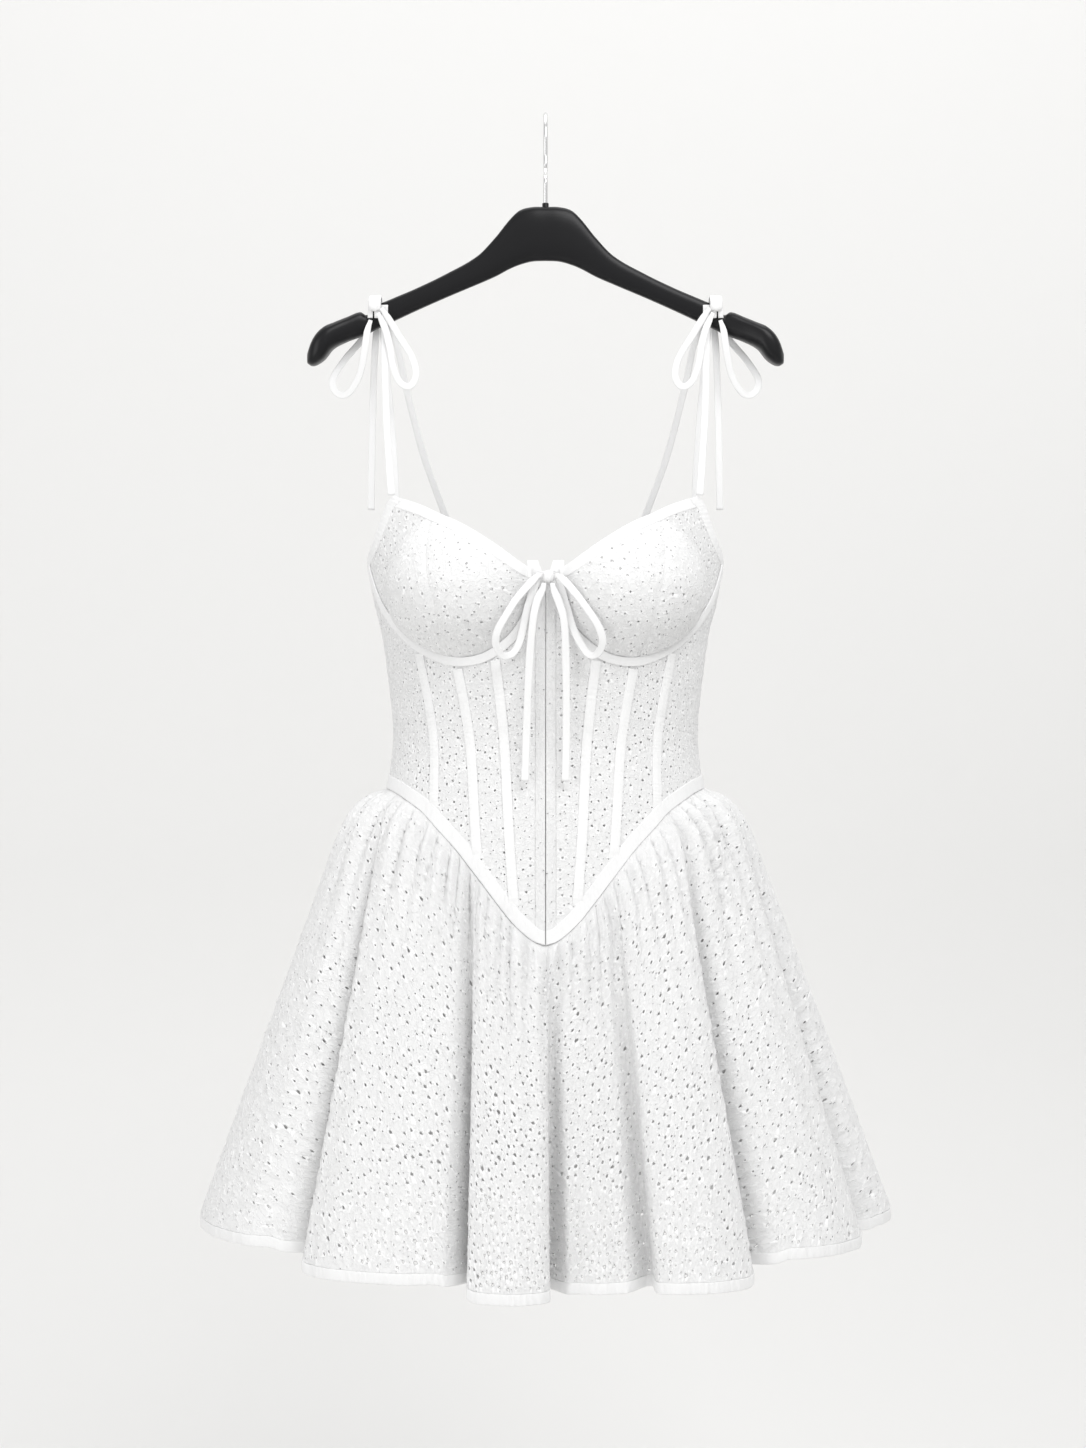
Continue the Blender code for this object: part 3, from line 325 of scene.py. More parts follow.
# Tapes that tie, as on the part
TAPE_WIDTH = 6.2
TAPE_THICK = 1.2
BOW_TAPE_WIDTH = 6.4
SHOULDER_TIES = (
    # name, width, points as across, depth, height on the left shoulder
    ("strap_front", TAPE_WIDTH, (
        (-133.2, -45.2, -336.3), (-135.6, -37.0, -310.0), (-139.0, -25.0, -262.0),
        (-140.8, -13.5, -205.0), (-141.2, -8.3, -180.0), (-141.2, -8.0, -166.5),
    )),
    ("strap_back", TAPE_WIDTH, (
        (-66.0, 76.2, -404.6), (-84.0, 61.0, -362.0), (-107.0, 42.0, -300.0),
        (-122.0, 24.0, -243.0), (-131.0, 9.5, -200.0), (-138.0, 8.0, -176.0),
    )),
    ("tie_loop_outer", TAPE_WIDTH, (
        (-154.3, 12.6, -179.5), (-163.0, 12.6, -195.0), (-178.0, 10.5, -213.0),
        (-188.0, 6.5, -231.0), (-183.5, 1.0, -243.0), (-173.5, -3.5, -243.5),
        (-163.5, -7.5, -228.5), (-158.6, -12.0, -207.0), (-156.0, -13.0, -190.0),
        (-153.2, -11.4, -180.4),
    )),
    ("tie_loop_inner", TAPE_WIDTH, (
        (-144.0, -14.2, -170.0), (-137.5, -13.4, -179.5), (-129.0, -13.2, -193.5),
        (-117.0, -13.8, -213.0), (-113.4, -15.2, -229.0), (-118.5, -16.6, -239.0),
        (-127.5, -17.4, -235.5), (-133.5, -17.4, -221.0), (-136.6, -16.8, -203.0),
        (-140.5, -16.0, -188.0), (-146.6, -15.9, -174.5),
    )),
    ("tie_tail_outer", TAPE_WIDTH, (
        (-148.4, 9.4, -179.2), (-150.8, 9.4, -206.0), (-152.4, 10.0, -249.0),
        (-153.4, 9.0, -300.0), (-154.0, 9.0, -345.2),
    )),
    ("tie_tail_inner", 5.4, (
        (-145.2, 12.6, -179.2), (-141.8, 13.0, -206.0), (-137.6, 14.0, -249.0),
        (-133.6, 13.0, -300.0), (-131.4, 12.0, -347.0),
    )),
)
FRONT_BOW = (
    # name, width, points as across, depth, height
    ("bow_loop_left", BOW_TAPE_WIDTH, (
        (-2.7, -101.0, -408.8), (-6.5, -102.4, -409.0), (-13.5, -105.0, -416.0),
        (-24.5, -110.0, -429.0), (-33.0, -113.5, -442.5), (-40.2, -113.5, -455.5),
        (-42.0, -110.0, -466.5), (-37.0, -104.5, -476.2), (-28.6, -100.5, -475.2),
        (-22.6, -98.6, -466.0), (-18.6, -98.0, -451.0), (-14.8, -98.4, -434.0),
        (-6.8, -98.4, -413.4), (-3.9, -98.2, -411.8),
    )),
    ("bow_loop_right", BOW_TAPE_WIDTH, (
        (7.6, -101.0, -408.8), (10.5, -102.4, -409.2), (15.5, -105.0, -413.0),
        (25.0, -110.0, -424.0), (34.6, -113.5, -437.0), (43.5, -114.0, -450.5),
        (48.0, -111.5, -463.5), (44.6, -106.0, -474.0), (37.0, -102.0, -476.0),
        (28.8, -99.6, -465.0), (22.0, -98.6, -450.0), (17.4, -98.4, -434.0),
        (11.2, -98.4, -413.6), (8.8, -98.2, -411.8),
    )),
    ("bow_tail_left", 6.6, (
        (-1.4, -101.4, -415.1), (-2.2, -101.8, -419.6), (-7.4, -102.4, -431.0),
        (-11.0, -102.2, -450.0), (-14.2, -97.0, -490.0), (-16.2, -91.6, -543.0),
        (-17.6, -93.2, -583.0),
    )),
    ("bow_tail_right", 6.6, (
        (5.9, -101.4, -415.1), (6.4, -101.8, -419.6), (11.4, -102.4, -432.0),
        (15.8, -102.2, -450.0), (17.4, -97.0, -490.0), (17.6, -91.6, -543.0),
        (16.8, -93.2, -583.0),
    )),
)

LIGHTS = (
    # name, place in metres, size, watts
    ("key", (0.9, -1.9, 1.5), (1.8, 1.4), 37),
    ("fill", (-1.8, -2.2, -0.2), (1.6, 2.0), 18),
    ("top", (0.0, 0.3, 1.9), (2.2, 1.6), 21),
)

RANDOM = np.random.default_rng(11)


def smooth_row(table, key):
    """The table's row at this key, on a smooth curve through its rows, without the key itself."""
    rows = sorted(table)
    key = min(max(key, rows[0][0]), rows[-1][0])
    i = 0
    while i < len(rows) - 2 and key > rows[i + 1][0]:
        i += 1
    before, low = rows[max(i - 1, 0)], rows[i]
    high, after = rows[i + 1], rows[min(i + 2, len(rows) - 1)]
    span = high[0] - low[0]
    t = (key - low[0]) / span
    found = []
    for column in range(1, len(low)):
        slope_low = (high[column] - before[column]) / (high[0] - before[0]) * span
        slope_high = (after[column] - low[column]) / (after[0] - low[0]) * span
        found.append(
            (2 * t**3 - 3 * t**2 + 1) * low[column]
            + (t**3 - 2 * t**2 + t) * slope_low
            + (3 * t**2 - 2 * t**3) * high[column]
            + (t**3 - t**2) * slope_high
        )
    return found


def unit(vectors):
    return vectors / np.maximum(np.linalg.norm(vectors, axis=-1, keepdims=True), 1e-12)


def signed_power(value, power):
    return np.sign(value) * np.abs(value) ** (2 / power)


def smooth_step(value):
    value = np.clip(value, 0, 1)
    return value * value * (3 - 2 * value)


def oval(angle, half_width, front, back, power):
    """Plan places on a rounded oval at these angles in degrees."""
    turn = np.radians(angle)
    across = -half_width * signed_power(np.cos(turn), power)
    depth = np.where(np.sin(turn) > 0, front, back) * signed_power(np.sin(turn), power)
    return np.stack([across, -depth, np.zeros_like(across)], -1)


SECTION_HEIGHTS = np.arange(-735.0, -324.0)
SECTION_ROWS = np.array([smooth_row(SECTIONS, height) for height in SECTION_HEIGHTS])


def body_place(angle, height):
    """Places on the bodice's plain body, without the cups."""
    angle, height = np.broadcast_arrays(np.asarray(angle, float), np.asarray(height, float))
    rows = [np.interp(height, SECTION_HEIGHTS, SECTION_ROWS[:, k]) for k in range(4)]
    places = oval(angle, *rows)
    places[..., 2] = height
    return places


def angle_at(across, height):
    """The front angle of the left half at this distance from the front centre."""
    half_width, _, _, power = smooth_row(SECTIONS, height)
    return math.degrees(math.acos(min(1, (across / half_width) ** (power / 2))))


def cup_lift(places):
    """How far the cups stand out over these places of the body."""
    above = (places[..., 2] - CUP_HEIGHT) / CUP_RADIUS
    reach = np.hypot((np.abs(places[..., 0]) - CUP_X) / CUP_RADIUS, above)
    ease = 1 - CUP_UPPER_EASE * np.clip(above, 0, 1)
    lift = CUP_LIFT * (1 - np.minimum(reach, 1) ** CUP_ROUNDNESS) * ease
    return np.where(places[..., 1] > 0, 0, lift)


def facing(place_at, u, v, step_u=0.5, step_v=1.0):
    """The outward directions of a surface, from its neighbouring places."""
    along = place_at(u + step_u, v) - place_at(u - step_u, v)
    up = place_at(u, v + step_v) - place_at(u, v - step_v)
    return unit(np.cross(along, up))


def skin(angle, height):
    places = body_place(angle, height)
    return places + facing(body_place, angle, height) * cup_lift(places)[..., None]


def bodice(angle, height, lift=0.0):
    """Places on the bodice, moved out from its face by lift."""
    return skin(angle, height) + facing(skin, angle, height) * np.asarray(lift)[..., None]


def flat_bodice(angle, height, lift=0.0):
    """The same without the cups."""
    out = facing(body_place, angle, height)
    return body_place(angle, height) + out * np.asarray(lift)[..., None]


def lengths_along(places):
    steps = np.linalg.norm(np.diff(places, axis=0), axis=1)
    return np.concatenate([[0.0], np.cumsum(steps)])


def resampled(curve, count):
    """A curve of angles and heights as count places, evenly spaced over the cloth."""
    curve = np.asarray(curve, float)
    run = lengths_along(body_place(curve[:, 0], curve[:, 1]))
    wanted = np.linspace(0, run[-1], count)
    return np.stack([np.interp(wanted, run, curve[:, k]) for k in (0, 1)], 1)


def smoothed(table, count):
    """A smooth curve through a short table of angles and heights."""
    keyed = [(i, *row) for i, row in enumerate(table)]
    last = len(table) - 1
    dense = [smooth_row(keyed, last * i / (16 * last)) for i in range(16 * last + 1)]
    return resampled(dense, count)


def crossing(curve, angle):
    """The place where a curve of rising or falling angle passes this angle."""
    ordered = curve if curve[0][0] < curve[-1][0] else curve[::-1]
    return np.array([angle, np.interp(angle, ordered[:, 0], ordered[:, 1])])


def cut(curve, start, end):
    """The part of a curve between two angles, in the curve's own order."""
    inside = curve[(curve[:, 0] > start + 0.02) & (curve[:, 0] < end - 0.02)]
    ends = [crossing(curve, start), crossing(curve, end)]
    if curve[0][0] > curve[-1][0]:
        ends.reverse()
    return np.vstack([ends[0], inside, ends[1]])


def beside(curve, distance):
    """The curve moved sideways over the cloth, up from one that runs left to right."""
    curve = np.asarray(curve, float)
    before, after = np.vstack([curve[:1], curve[:-1]]), np.vstack([curve[1:], curve[-1:]])
    run = body_place(after[:, 0], after[:, 1]) - body_place(before[:, 0], before[:, 1])
    angle, height = curve[:, 0], curve[:, 1]
    shift = unit(np.cross(facing(body_place, angle, height), run)) * distance
    per_degree = body_place(angle + 0.5, height) - body_place(angle - 0.5, height)
    per_mm = (body_place(angle, height + 1) - body_place(angle, height - 1)) / 2
    aa, ab, bb = (per_degree**2).sum(1), (per_degree * per_mm).sum(1), (per_mm**2).sum(1)
    sa, sb = (shift * per_degree).sum(1), (shift * per_mm).sum(1)
    scale = aa * bb - ab * ab
    return np.stack([angle + (sa * bb - sb * ab) / scale, height + (sb * aa - sa * ab) / scale], 1)


def mirrored(curve):
    """The curve on the other half of the dress, still running left to right."""
    return np.stack([180 - curve[::-1, 0], curve[::-1, 1]], 1)


def straight(start, end, count):
    return np.linspace(np.asarray(start, float), np.asarray(end, float), count)


def carried_back(curve, reach):
    """The curve with its start moved back along itself by this reach on the cloth."""
    step = np.linalg.norm(body_place(*curve[1]) - body_place(*curve[0]))
    return np.vstack([curve[0] - (curve[1] - curve[0]) * reach / step, curve])


def meeting(first, second, reach=14):
    """Where two curves cross, each carried on past its start: the index in each and the place."""
    first, second = carried_back(first, reach), carried_back(second, reach)
    for i, (p, q) in enumerate(zip(first, first[1:])):
        for j, (r, s) in enumerate(zip(second, second[1:])):
            run, other, apart = q - p, s - r, r - p
            scale = run[0] * other[1] - run[1] * other[0]
            if abs(scale) < 1e-9:
                continue
            t = (apart[0] * other[1] - apart[1] * other[0]) / scale
            u = (apart[0] * run[1] - apart[1] * run[0]) / scale
            if 0 <= t <= 1 and 0 <= u <= 1:
                return i, j, p + run * t
    raise ValueError("the curves don't cross")


def neck_edge(distance):
    """The neckline moved up by distance, from the strap's corner to its upright end."""
    edge = beside(smoothed(NECKLINE, 70), distance)
    last = NECKLINE[-1][0]
    return np.vstack([edge[edge[:, 0] < last - 0.05], crossing(edge, last)])


def armhole_edge(distance):
    """The edge from the strap's corner under the arm to the back centre, moved down by distance."""
    edge = beside(smoothed(ARMHOLE_AND_BACK, 150), distance)
    edge[-1, 0] = -90
    return edge


def neck_from_binding(distance, reach=BINDING_WIDTH + SEAM_GAP):
    """The neck's edge from the armhole binding on."""
    edge = neck_edge(distance)
    i, _, start = meeting(edge, armhole_edge(reach))
    return np.vstack([start, edge[i:][edge[i:, 0] > start[0] + 0.1]])


def underwire():
    """The cup's lower edge, from under the armhole binding to the front centre."""
    corner = crossing(armhole_edge(BINDING_WIDTH + SEAM_GAP), CUP_CORNER_ANGLE)
    return smoothed((tuple(corner), *UNDERWIRE), 90)


def waist_edge(distance):
    """The waist seam of the left front, moved up by distance."""
    edge = beside(smoothed(WAIST_SEAM, 110), distance)
    kept = edge[(edge[:, 0] > 0.1) & (edge[:, 0] < 89.9)]
    return np.vstack([(0, edge[0, 1]), kept, crossing(edge, 90)])


WAIST_LINE = waist_edge(0)


def make_object(name, points, faces, uv, material, replaced=(), values=None):
    """A shown piece from points in millimetres, with a map in millimetres of cloth."""
    name += "_fine"
    mesh = bpy.data.meshes.new(name)
    mesh.from_pydata((np.asarray(points) * MM).tolist(), [], [list(map(int, face)) for face in faces])
    corners = np.empty(len(mesh.loops), np.int32)
    mesh.loops.foreach_get("vertex_index", corners)
    layer = mesh.uv_layers.new(name="cloth")
    layer.data.foreach_set("uv", np.asarray(uv, np.float32)[corners].ravel())
    for key, numbers in (values or {}).items():
        mesh.attributes.new(key, "FLOAT", "POINT").data.foreach_set("value", np.asarray(numbers, np.float32))
    mesh.shade_smooth()
    mesh.materials.append(material)
    item = bpy.data.objects.new(name, mesh)
    bpy.context.scene.collection.objects.link(item)
    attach(item, "root")
    if replaced:
        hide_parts(*replaced)
    return item


def inside(points, outline):
    """Which points lie within a closed outline on the plane."""
    found = np.zeros(len(points), bool)
    for (x0, y0), (x1, y1) in zip(outline, np.roll(outline, -1, axis=0)):
        if y0 == y1:
            continue
        spans = (points[:, 1] > min(y0, y1)) & (points[:, 1] <= max(y0, y1))
        found ^= spans & (points[:, 0] < x0 + (points[:, 1] - y0) * (x1 - x0) / (y1 - y0))
    return found


def edge_distance(points, outline):
    nearest = np.full(len(points), 1e9)
    for start, end in zip(outline, np.roll(outline, -1, axis=0)):
        run = end - start
        share = np.clip(((points - start) @ run) / max(run @ run, 1e-9), 0, 1)
        away = np.linalg.norm(points - start - share[:, None] * run, axis=1)
        nearest = np.minimum(nearest, away)
    return nearest


def scattered(outline, spacing, tries, margin):
    """Places strewn over the plane within an outline, no two nearer than the spacing."""
    low, high = outline.min(0), outline.max(0)
    tried = low + RANDOM.random((tries, 2)) * (high - low)
    tried = tried[inside(tried, outline)]
    tried = tried[edge_distance(tried, outline) > margin]
    cells, kept = {}, []
    for place in tried:
        key = (int(place[0] // spacing), int(place[1] // spacing))
        near = [cells.get((key[0] + i, key[1] + j), ()) for i in (-1, 0, 1) for j in (-1, 0, 1)]
        if all((place[0] - q[0]) ** 2 + (place[1] - q[1]) ** 2 > spacing**2 for row in near for q in row):
            cells.setdefault(key, []).append(place)
            kept.append(place)
    return np.array(kept)


def eyelet_cloth(name, outline, lattice, eyelets, radii, place, scale, material):
    """A sheet of cloth with round worked eyelets cut through, from an outline on a plane."""
    ahead = np.roll(outline, -1, axis=0)
    if (outline[:, 0] * ahead[:, 1] - outline[:, 1] * ahead[:, 0]).sum() < 0:
        outline = outline[::-1]
    tree = KDTree(len(eyelets))
    for i, (x, y) in enumerate(eyelets):
        tree.insert((x, y, 0), i)
    tree.balance()
    kept = np.ones(len(lattice), bool)
    for i, (x, y) in enumerate(lattice):
        _, index, away = tree.find((x, y, 0))
        kept[i] = away > 1.25 * radii[index] + 1.15
    lattice = lattice[kept]
    lattice = lattice[inside(lattice, outline)]
    lattice = lattice[edge_distance(lattice, outline) > 1.3]
    start = len(outline) + len(lattice)
    points, lifts, rims_and_wall_shade = [outline, lattice], [np.zeros(start)], [np.zeros(start)]
    sides = EYELET_RINGS[0][0]
    polygons = [list(range(len(outline)))]
    polygons += [[start + sides * i + k for k in range(sides)] for i in range(len(eyelets))]
    stretch = scale(eyelets)
    longer = RANDOM.uniform(0, LONGEST_EYELET, len(eyelets))
    lean = RANDOM.uniform(0, math.pi, len(eyelets))
    cosine, sine = np.cos(lean)[:, None], np.sin(lean)[:, None]
    for count, share, extra, lift, rim_and_wall_shade in EYELET_RINGS:
        turn = 2 * math.pi * np.arange(count) / count
        run = np.cos(turn)[None] * (1 + longer)[:, None]
        rise = np.sin(turn)[None] * (1 - longer / 2)[:, None]
        spokes = np.stack([run * cosine - rise * sine, run * sine + rise * cosine], -1)
        size = (radii * share + extra)[:, None, None]
        ring = eyelets[:, None] + size * spokes * stretch[:, None]
        points.append(ring.reshape(-1, 2))
        lifts.append(np.full(len(points[-1]), lift))
        rims_and_wall_shade.append(np.full(len(points[-1]), rim_and_wall_shade))
    plane = np.vstack(points)
    lifts, rims_and_wall_shade = np.concatenate(lifts), np.concatenate(rims_and_wall_shade)
    found = delaunay_2d_cdt([Vector(p) for p in plane.tolist()], [], polygons, 0, 1e-5, True)
    coords, _, triangles, origins, _, covered = found
    faces = [face for face, owners in zip(triangles, covered) if owners == [0]]
    used = sorted({index for face in faces for index in face})
    renumber = {old: new for new, old in enumerate(used)}
    flat = np.array([coords[i][:] for i in used])
    own = np.array([origins[i][0] if origins[i] else -1 for i in used])
    lift = np.where(own >= 0, lifts[own], 0)
    rim_and_wall_shade = np.where(own >= 0, rims_and_wall_shade[own], 0)
    faces = [[renumber[i] for i in face] for face in faces]
    # This attribute marks the raised stitching, and with values below 0 the eyelet wall that the material
    # paints in shade
    values = {"rim_and_wall_shade": rim_and_wall_shade}
    return make_object(name, place(flat, lift), faces, flat, material, (name,), values)


def rows_of_places(outline, across, down):
    """A staggered lattice of places over an outline's box."""
    low, high = outline.min(0), outline.max(0)
    rows = np.arange(low[1], high[1], down)
    found = []
    for i, y in enumerate(rows):
        x = np.arange(low[0] + (i % 2) * across / 2, high[0], across)
        found.append(np.stack([x, np.full(len(x), y)], 1))
    return np.vstack(found)


def bodice_scale(place_at):
    """How much of the plane one millimetre of cloth takes, across and up."""

    def scale(plane):
        angle, height = plane[:, 0] / PLANE_PER_DEGREE, plane[:, 1]
        wide = np.linalg.norm(place_at(angle + 0.5, height) - place_at(angle - 0.5, height), axis=1)
        tall = np.linalg.norm(place_at(angle, height + 1) - place_at(angle, height - 1), axis=1) / 2
        return np.stack([PLANE_PER_DEGREE / wide, 1 / tall], 1)

    return scale


def outline_of(top, right, bottom, left):
    """One closed outline on the plane from four edges. Left and right run downwards."""
    parts = [top[:-1], right[:-1], bottom[::-1][:-1], left[::-1][:-1]]
    outline = np.vstack(parts)
    outline = outline * (PLANE_PER_DEGREE, 1)
    keep = [0]
    for i in range(1, len(outline)):
        if np.linalg.norm(outline[i] - outline[keep[-1]]) > 0.8:
            keep.append(i)
    return outline[keep]


def bodice_piece(name, outline, place_at, material, crease=None):
    """A piece of eyelet cloth on the bodice."""
    spacing, low, high = CUP_EYELETS if name.startswith("cup") else PANEL_EYELETS
    eyelets = scattered(outline, spacing, EYELET_TRIES, EYELET_MARGIN)
    radii = low + (high - low) * RANDOM.random(len(eyelets)) ** 1.4
    lattice = rows_of_places(outline, *CLOTH_PITCH)

    def place(plane, lift):
        angle, height = plane[:, 0] / PLANE_PER_DEGREE, plane[:, 1]
        if crease:
            lift = lift + crease(angle, height)
        return place_at(angle, height, lift)

    return eyelet_cloth(name, outline, lattice, eyelets, radii, place, bodice_scale(place_at), material)


def both_pieces(name, edges, place_at, material, crease=None):
    """A piece of the left half, and one cut to its mirror image on the right half."""
    outline = outline_of(*edges)
    bodice_piece(name + "_left", outline, place_at, material, crease)
    turned = np.stack([180 * PLANE_PER_DEGREE - outline[::-1, 0], outline[::-1, 1]], 1)
    other = crease and (lambda angle, height: crease(180 - angle, height))
    bodice_piece(name + "_right", turned, place_at, material, other)


def cup_creases(angle, height):
    """Soft folds under the fullest part of the outer cup, and the seam's own dip."""
    seam = np.interp(height, CUP_SEAM_HEIGHTS, CUP_SEAM_ANGLES)
    dip = -CUP_SEAM_DIP * np.exp(-(((angle - seam) * CUP_MM_PER_DEGREE / CUP_SEAM_HALF) ** 2))
    folds = 0.0
    for at_angle, at_height, lean, depth, wide in CUP_FOLDS:
        along, across = (angle - at_angle) * CUP_MM_PER_DEGREE, height - at_height
        side = across * math.cos(lean) - along * math.sin(lean)
        run = along * math.cos(lean) + across * math.sin(lean)
        folds = folds - depth * np.exp(-((side / wide) ** 2) - ((run / CUP_FOLD_REACH) ** 2))
    return dip + folds


def make_cups(material):
    """The outer and inner piece of each cup."""
    neck = neck_from_binding(-BINDING_WIDTH + TUCK)
    arm = armhole_edge(BINDING_WIDTH - TUCK)
    arc = beside(underwire(), -0.3)
    arc = np.vstack([crossing(arm, arc[0][0]), arc[1:]])
    left = arm[(arm[:, 0] > arc[0][0] + 0.2) & (arm[:, 0] < neck[0][0])]
    left = left[left[:, 1] < neck[0][1] - 1]
    left = np.vstack([neck[0], left, arc[0]])
    ends = tuple(crossing(neck, CUP_SEAM_TOP)), tuple(crossing(arc, CUP_SEAM_FOOT))
    seam = smoothed([ends[0], *CUP_SEAM, ends[1]], 40)
    top = cut(neck, neck[0][0], CUP_SEAM_TOP)
    bottom = cut(arc, arc[0][0], CUP_SEAM_FOOT)
    both_pieces("cup_outer", (top, seam, bottom, left), bodice, material, cup_creases)
    top = cut(neck, CUP_SEAM_TOP, neck[-1][0])
    bottom = cut(arc, CUP_SEAM_FOOT, arc[-1][0])
    inner = straight(neck[-1], arc[-1], 8)
    both_pieces("cup_inner", (top, inner, bottom, seam), bodice, material, cup_creases)


def panel_top():
    """The upper edge of the left front's panels: armhole binding, cup, and the point between the cups."""
    arc = beside(underwire(), -0.3)
    arm = cut(armhole_edge(BINDING_WIDTH - TUCK), 0, CUP_CORNER_ANGLE)
    below = neck_edge(-BINDING_WIDTH + TUCK)[-1][1]
    side = angle_at(PLACKET_WIDTH + OPENING_HALF, below)
    arc = arc[arc[:, 0] > CUP_CORNER_ANGLE]
    return np.vstack([arm[::-1][:-1], arc, (NECKLINE[-1][0] + 0.1, below), (side, below)])


def seam_line(top, foot, count=40):
    """A boning seam from the cup to the waist band."""
    return straight(crossing(panel_top(), top), crossing(waist_edge(WAIST_BAND_WIDTH - TUCK), foot), count)


def upright(across, top, distance, count=60):
    """An upright line at this distance from the front centre, down to the waist band."""
    lower = waist_edge(distance)
    foot = crossing(lower, angle_at(across, lower[-1][1]))[1]
    return np.array([(angle_at(across, height), height) for height in np.linspace(top, foot, count)])


def panel_creases(angle, height):
    """Small uneven ripples that the boning pulls across the panels."""
    ripple = np.sin(height / 4.1 + 2.1 * np.sin(angle / 5.3) + 0.8 * np.sin(height / 13))
    return 0.16 * ripple + 0.12 * np.sin(height / 7.7 - angle / 3.1)


def make_front_panels(material):
    """The four panels of each front half, between the boning seams."""
    upper, lower = panel_top(), waist_edge(WAIST_BAND_WIDTH - TUCK)
    inner = upright(PLACKET_WIDTH + OPENING_HALF, upper[-1][1], WAIST_BAND_WIDTH - TUCK)
    lines = [straight((0, upper[0][1]), (0, lower[0][1]), 40)]
    lines += [seam_line(top, foot) for _, top, foot in BONING_SEAMS] + [inner]
    names = ("panel_side", "panel_third", "panel_second", "panel_centre")
    for i, name in enumerate(names):
        left, right = lines[i], lines[i + 1]
        top = cut(upper, left[0][0], right[0][0])
        bottom = cut(lower, left[-1][0], right[-1][0])
        both_pieces(name, (top, right, bottom, left), flat_bodice, material, panel_creases)


def make_back_panels(material):
    """The three plain panels of the back."""
    edge = armhole_edge(BINDING_WIDTH - TUCK)
    left = np.stack([edge[::-1, 0] + 360, edge[::-1, 1]], 1)
    right = np.stack([540 - left[::-1, 0], left[::-1, 1]], 1)
    edge = np.vstack([right[:-1], left])
    foot = WAIST_SIDE + WAIST_BAND_WIDTH - TUCK
    limits = (180, BACK_PANEL_SEAM, 540 - BACK_PANEL_SEAM, 360)
    for i, name in enumerate(("back_side_right", "back_centre", "back_side_left")):
        top = cut(edge, limits[i], limits[i + 1])
        ends = limits[i : i + 2]
        sides = [straight(crossing(edge, angle), (angle, foot), 40) for angle in ends]
        bottom = straight((ends[0], foot), (ends[1], foot), 40)
        bodice_piece(name, outline_of(top, sides[1], bottom, sides[0]), flat_bodice, material, panel_creases)


def band(name, upper, lower, low, high, place_at, material, pucker, around=14, taper=0):
    """A rounded strip of tape between two edges of angles and heights, with puckers along it. Over the
    length of its taper it sinks to the cloth at its end."""
    count = len(upper)
    turn = 2 * math.pi * np.arange(around) / around
    share = 0.5 - 0.5 * signed_power(np.cos(turn), TAPE_POWER)
    rise = signed_power(np.sin(turn), TAPE_POWER)
    angle = upper[:, :1] + (lower[:, :1] - upper[:, :1]) * share
    height = upper[:, 1:] + (lower[:, 1:] - upper[:, 1:]) * share
    middle = (upper + lower) / 2
    run = lengths_along(place_at(middle[:, 0], middle[:, 1]))
    width = np.linalg.norm(
        place_at(upper[:, 0], upper[:, 1]) - place_at(lower[:, 0], lower[:, 1]), axis=1
    )
    outer = np.clip(rise, 0, 1)
    lift = (low + high) / 2 + (high - low) / 2 * rise + outer * pucker(run[:, None], share[None])
    if taper:
        lift = lift * smooth_step((run[-1] - run) / taper)[:, None]
    places = place_at(angle, height, lift).reshape(-1, 3)
    uv = np.stack(np.broadcast_arrays(run[:, None], share[None] * width[:, None]), -1).reshape(-1, 2)
    return make_object(name, places, tube_faces(count, around), uv, material, (name,))


def tube_faces(count, around, first=0):
    """The faces of a closed tube of rings, with its two ends."""
    faces = []
    for i in range(count - 1):
        for k in range(around):
            n = (k + 1) % around
            a, b = first + i * around, first + (i + 1) * around
            faces.append((a + k, b + k, b + n, a + n))
    faces.append(tuple(first + k for k in range(around)))
    faces.append(tuple(first + (count - 1) * around + k for k in reversed(range(around))))
    return faces


def ruche(depth, pitch, slant=0.0, offset=0.0):
    """Uneven puckers across a tape: run is along it and share across it."""

    def pucker(run, share):
        place = run + slant * share + offset
        first = np.sin(2 * math.pi * (place + 1.3 * np.sin(place / 7.9)) / pitch)
        second = np.sin(2 * math.pi * (place * 0.57 + 2.1 * np.sin(place / 13.7 + 3 * share)) / pitch)
        return depth * (0.6 * first + 0.4 * second) * (0.55 + 0.45 * np.sin(place / 11.3) ** 2)

    return pucker


def stitched(depth, pitch, lines, slant=0.0, offset=0.0):
    """The same with stitched grooves at these shares of the width."""
    soft = ruche(depth, pitch, slant, offset)

    def pucker(run, share):
        grooves = sum(np.exp(-(((share - line) / 0.045) ** 2)) for line in lines)
        return soft(run, share) * (1 - 0.6 * np.clip(grooves, 0, 1)) - 0.35 * grooves

    return pucker


def both_bands(name, upper, lower, low, high, place_at, material, pucker, around=14, taper=0):
    band(name + "_left", upper, lower, low, high, place_at, material, pucker, around=around, taper=taper)
    if taper:
        turned = [np.stack([180 - edge[:, 0], edge[:, 1]], 1) for edge in (lower, upper)]
    else:
        turned = [mirrored(edge) for edge in (upper, lower)]
    band(name + "_right", *turned, low, high, place_at, material, pucker, around=around, taper=taper)


def make_bindings(material):
    """The neck's binding on each side, and the one strip round armholes and back."""
    lower = neck_from_binding(-BINDING_WIDTH)
    count = 170
    upper = resampled(neck_from_binding(0), count)
    soft = stitched(0.32, 4.2, (0.84,), slant=3)
    lower = resampled(lower, count)
    both_bands("neck_binding", upper, lower, TAPE_LOW, TAPE_HIGH, bodice, material, soft, 20)
    rows = []
    for distance in (0, BINDING_WIDTH):
        left = armhole_edge(distance)
        if distance:
            _, j, start = meeting(neck_edge(0), left)
            left = np.vstack([start, left[j:][left[j:, 1] < start[1] - 0.3]])
        right = np.stack([180 - left[:, 0], left[:, 1]], 1)
        rest = np.stack([left[::-1, 0] + 360, left[::-1, 1]], 1)
        rows.append(resampled(np.vstack([right, rest[1:]]), 520))
    soft = stitched(0.5, 3.6, (0.86,), slant=2)
    band("armhole_back_binding", *rows, TAPE_LOW, TAPE_HIGH, bodice, material, soft, around=20)


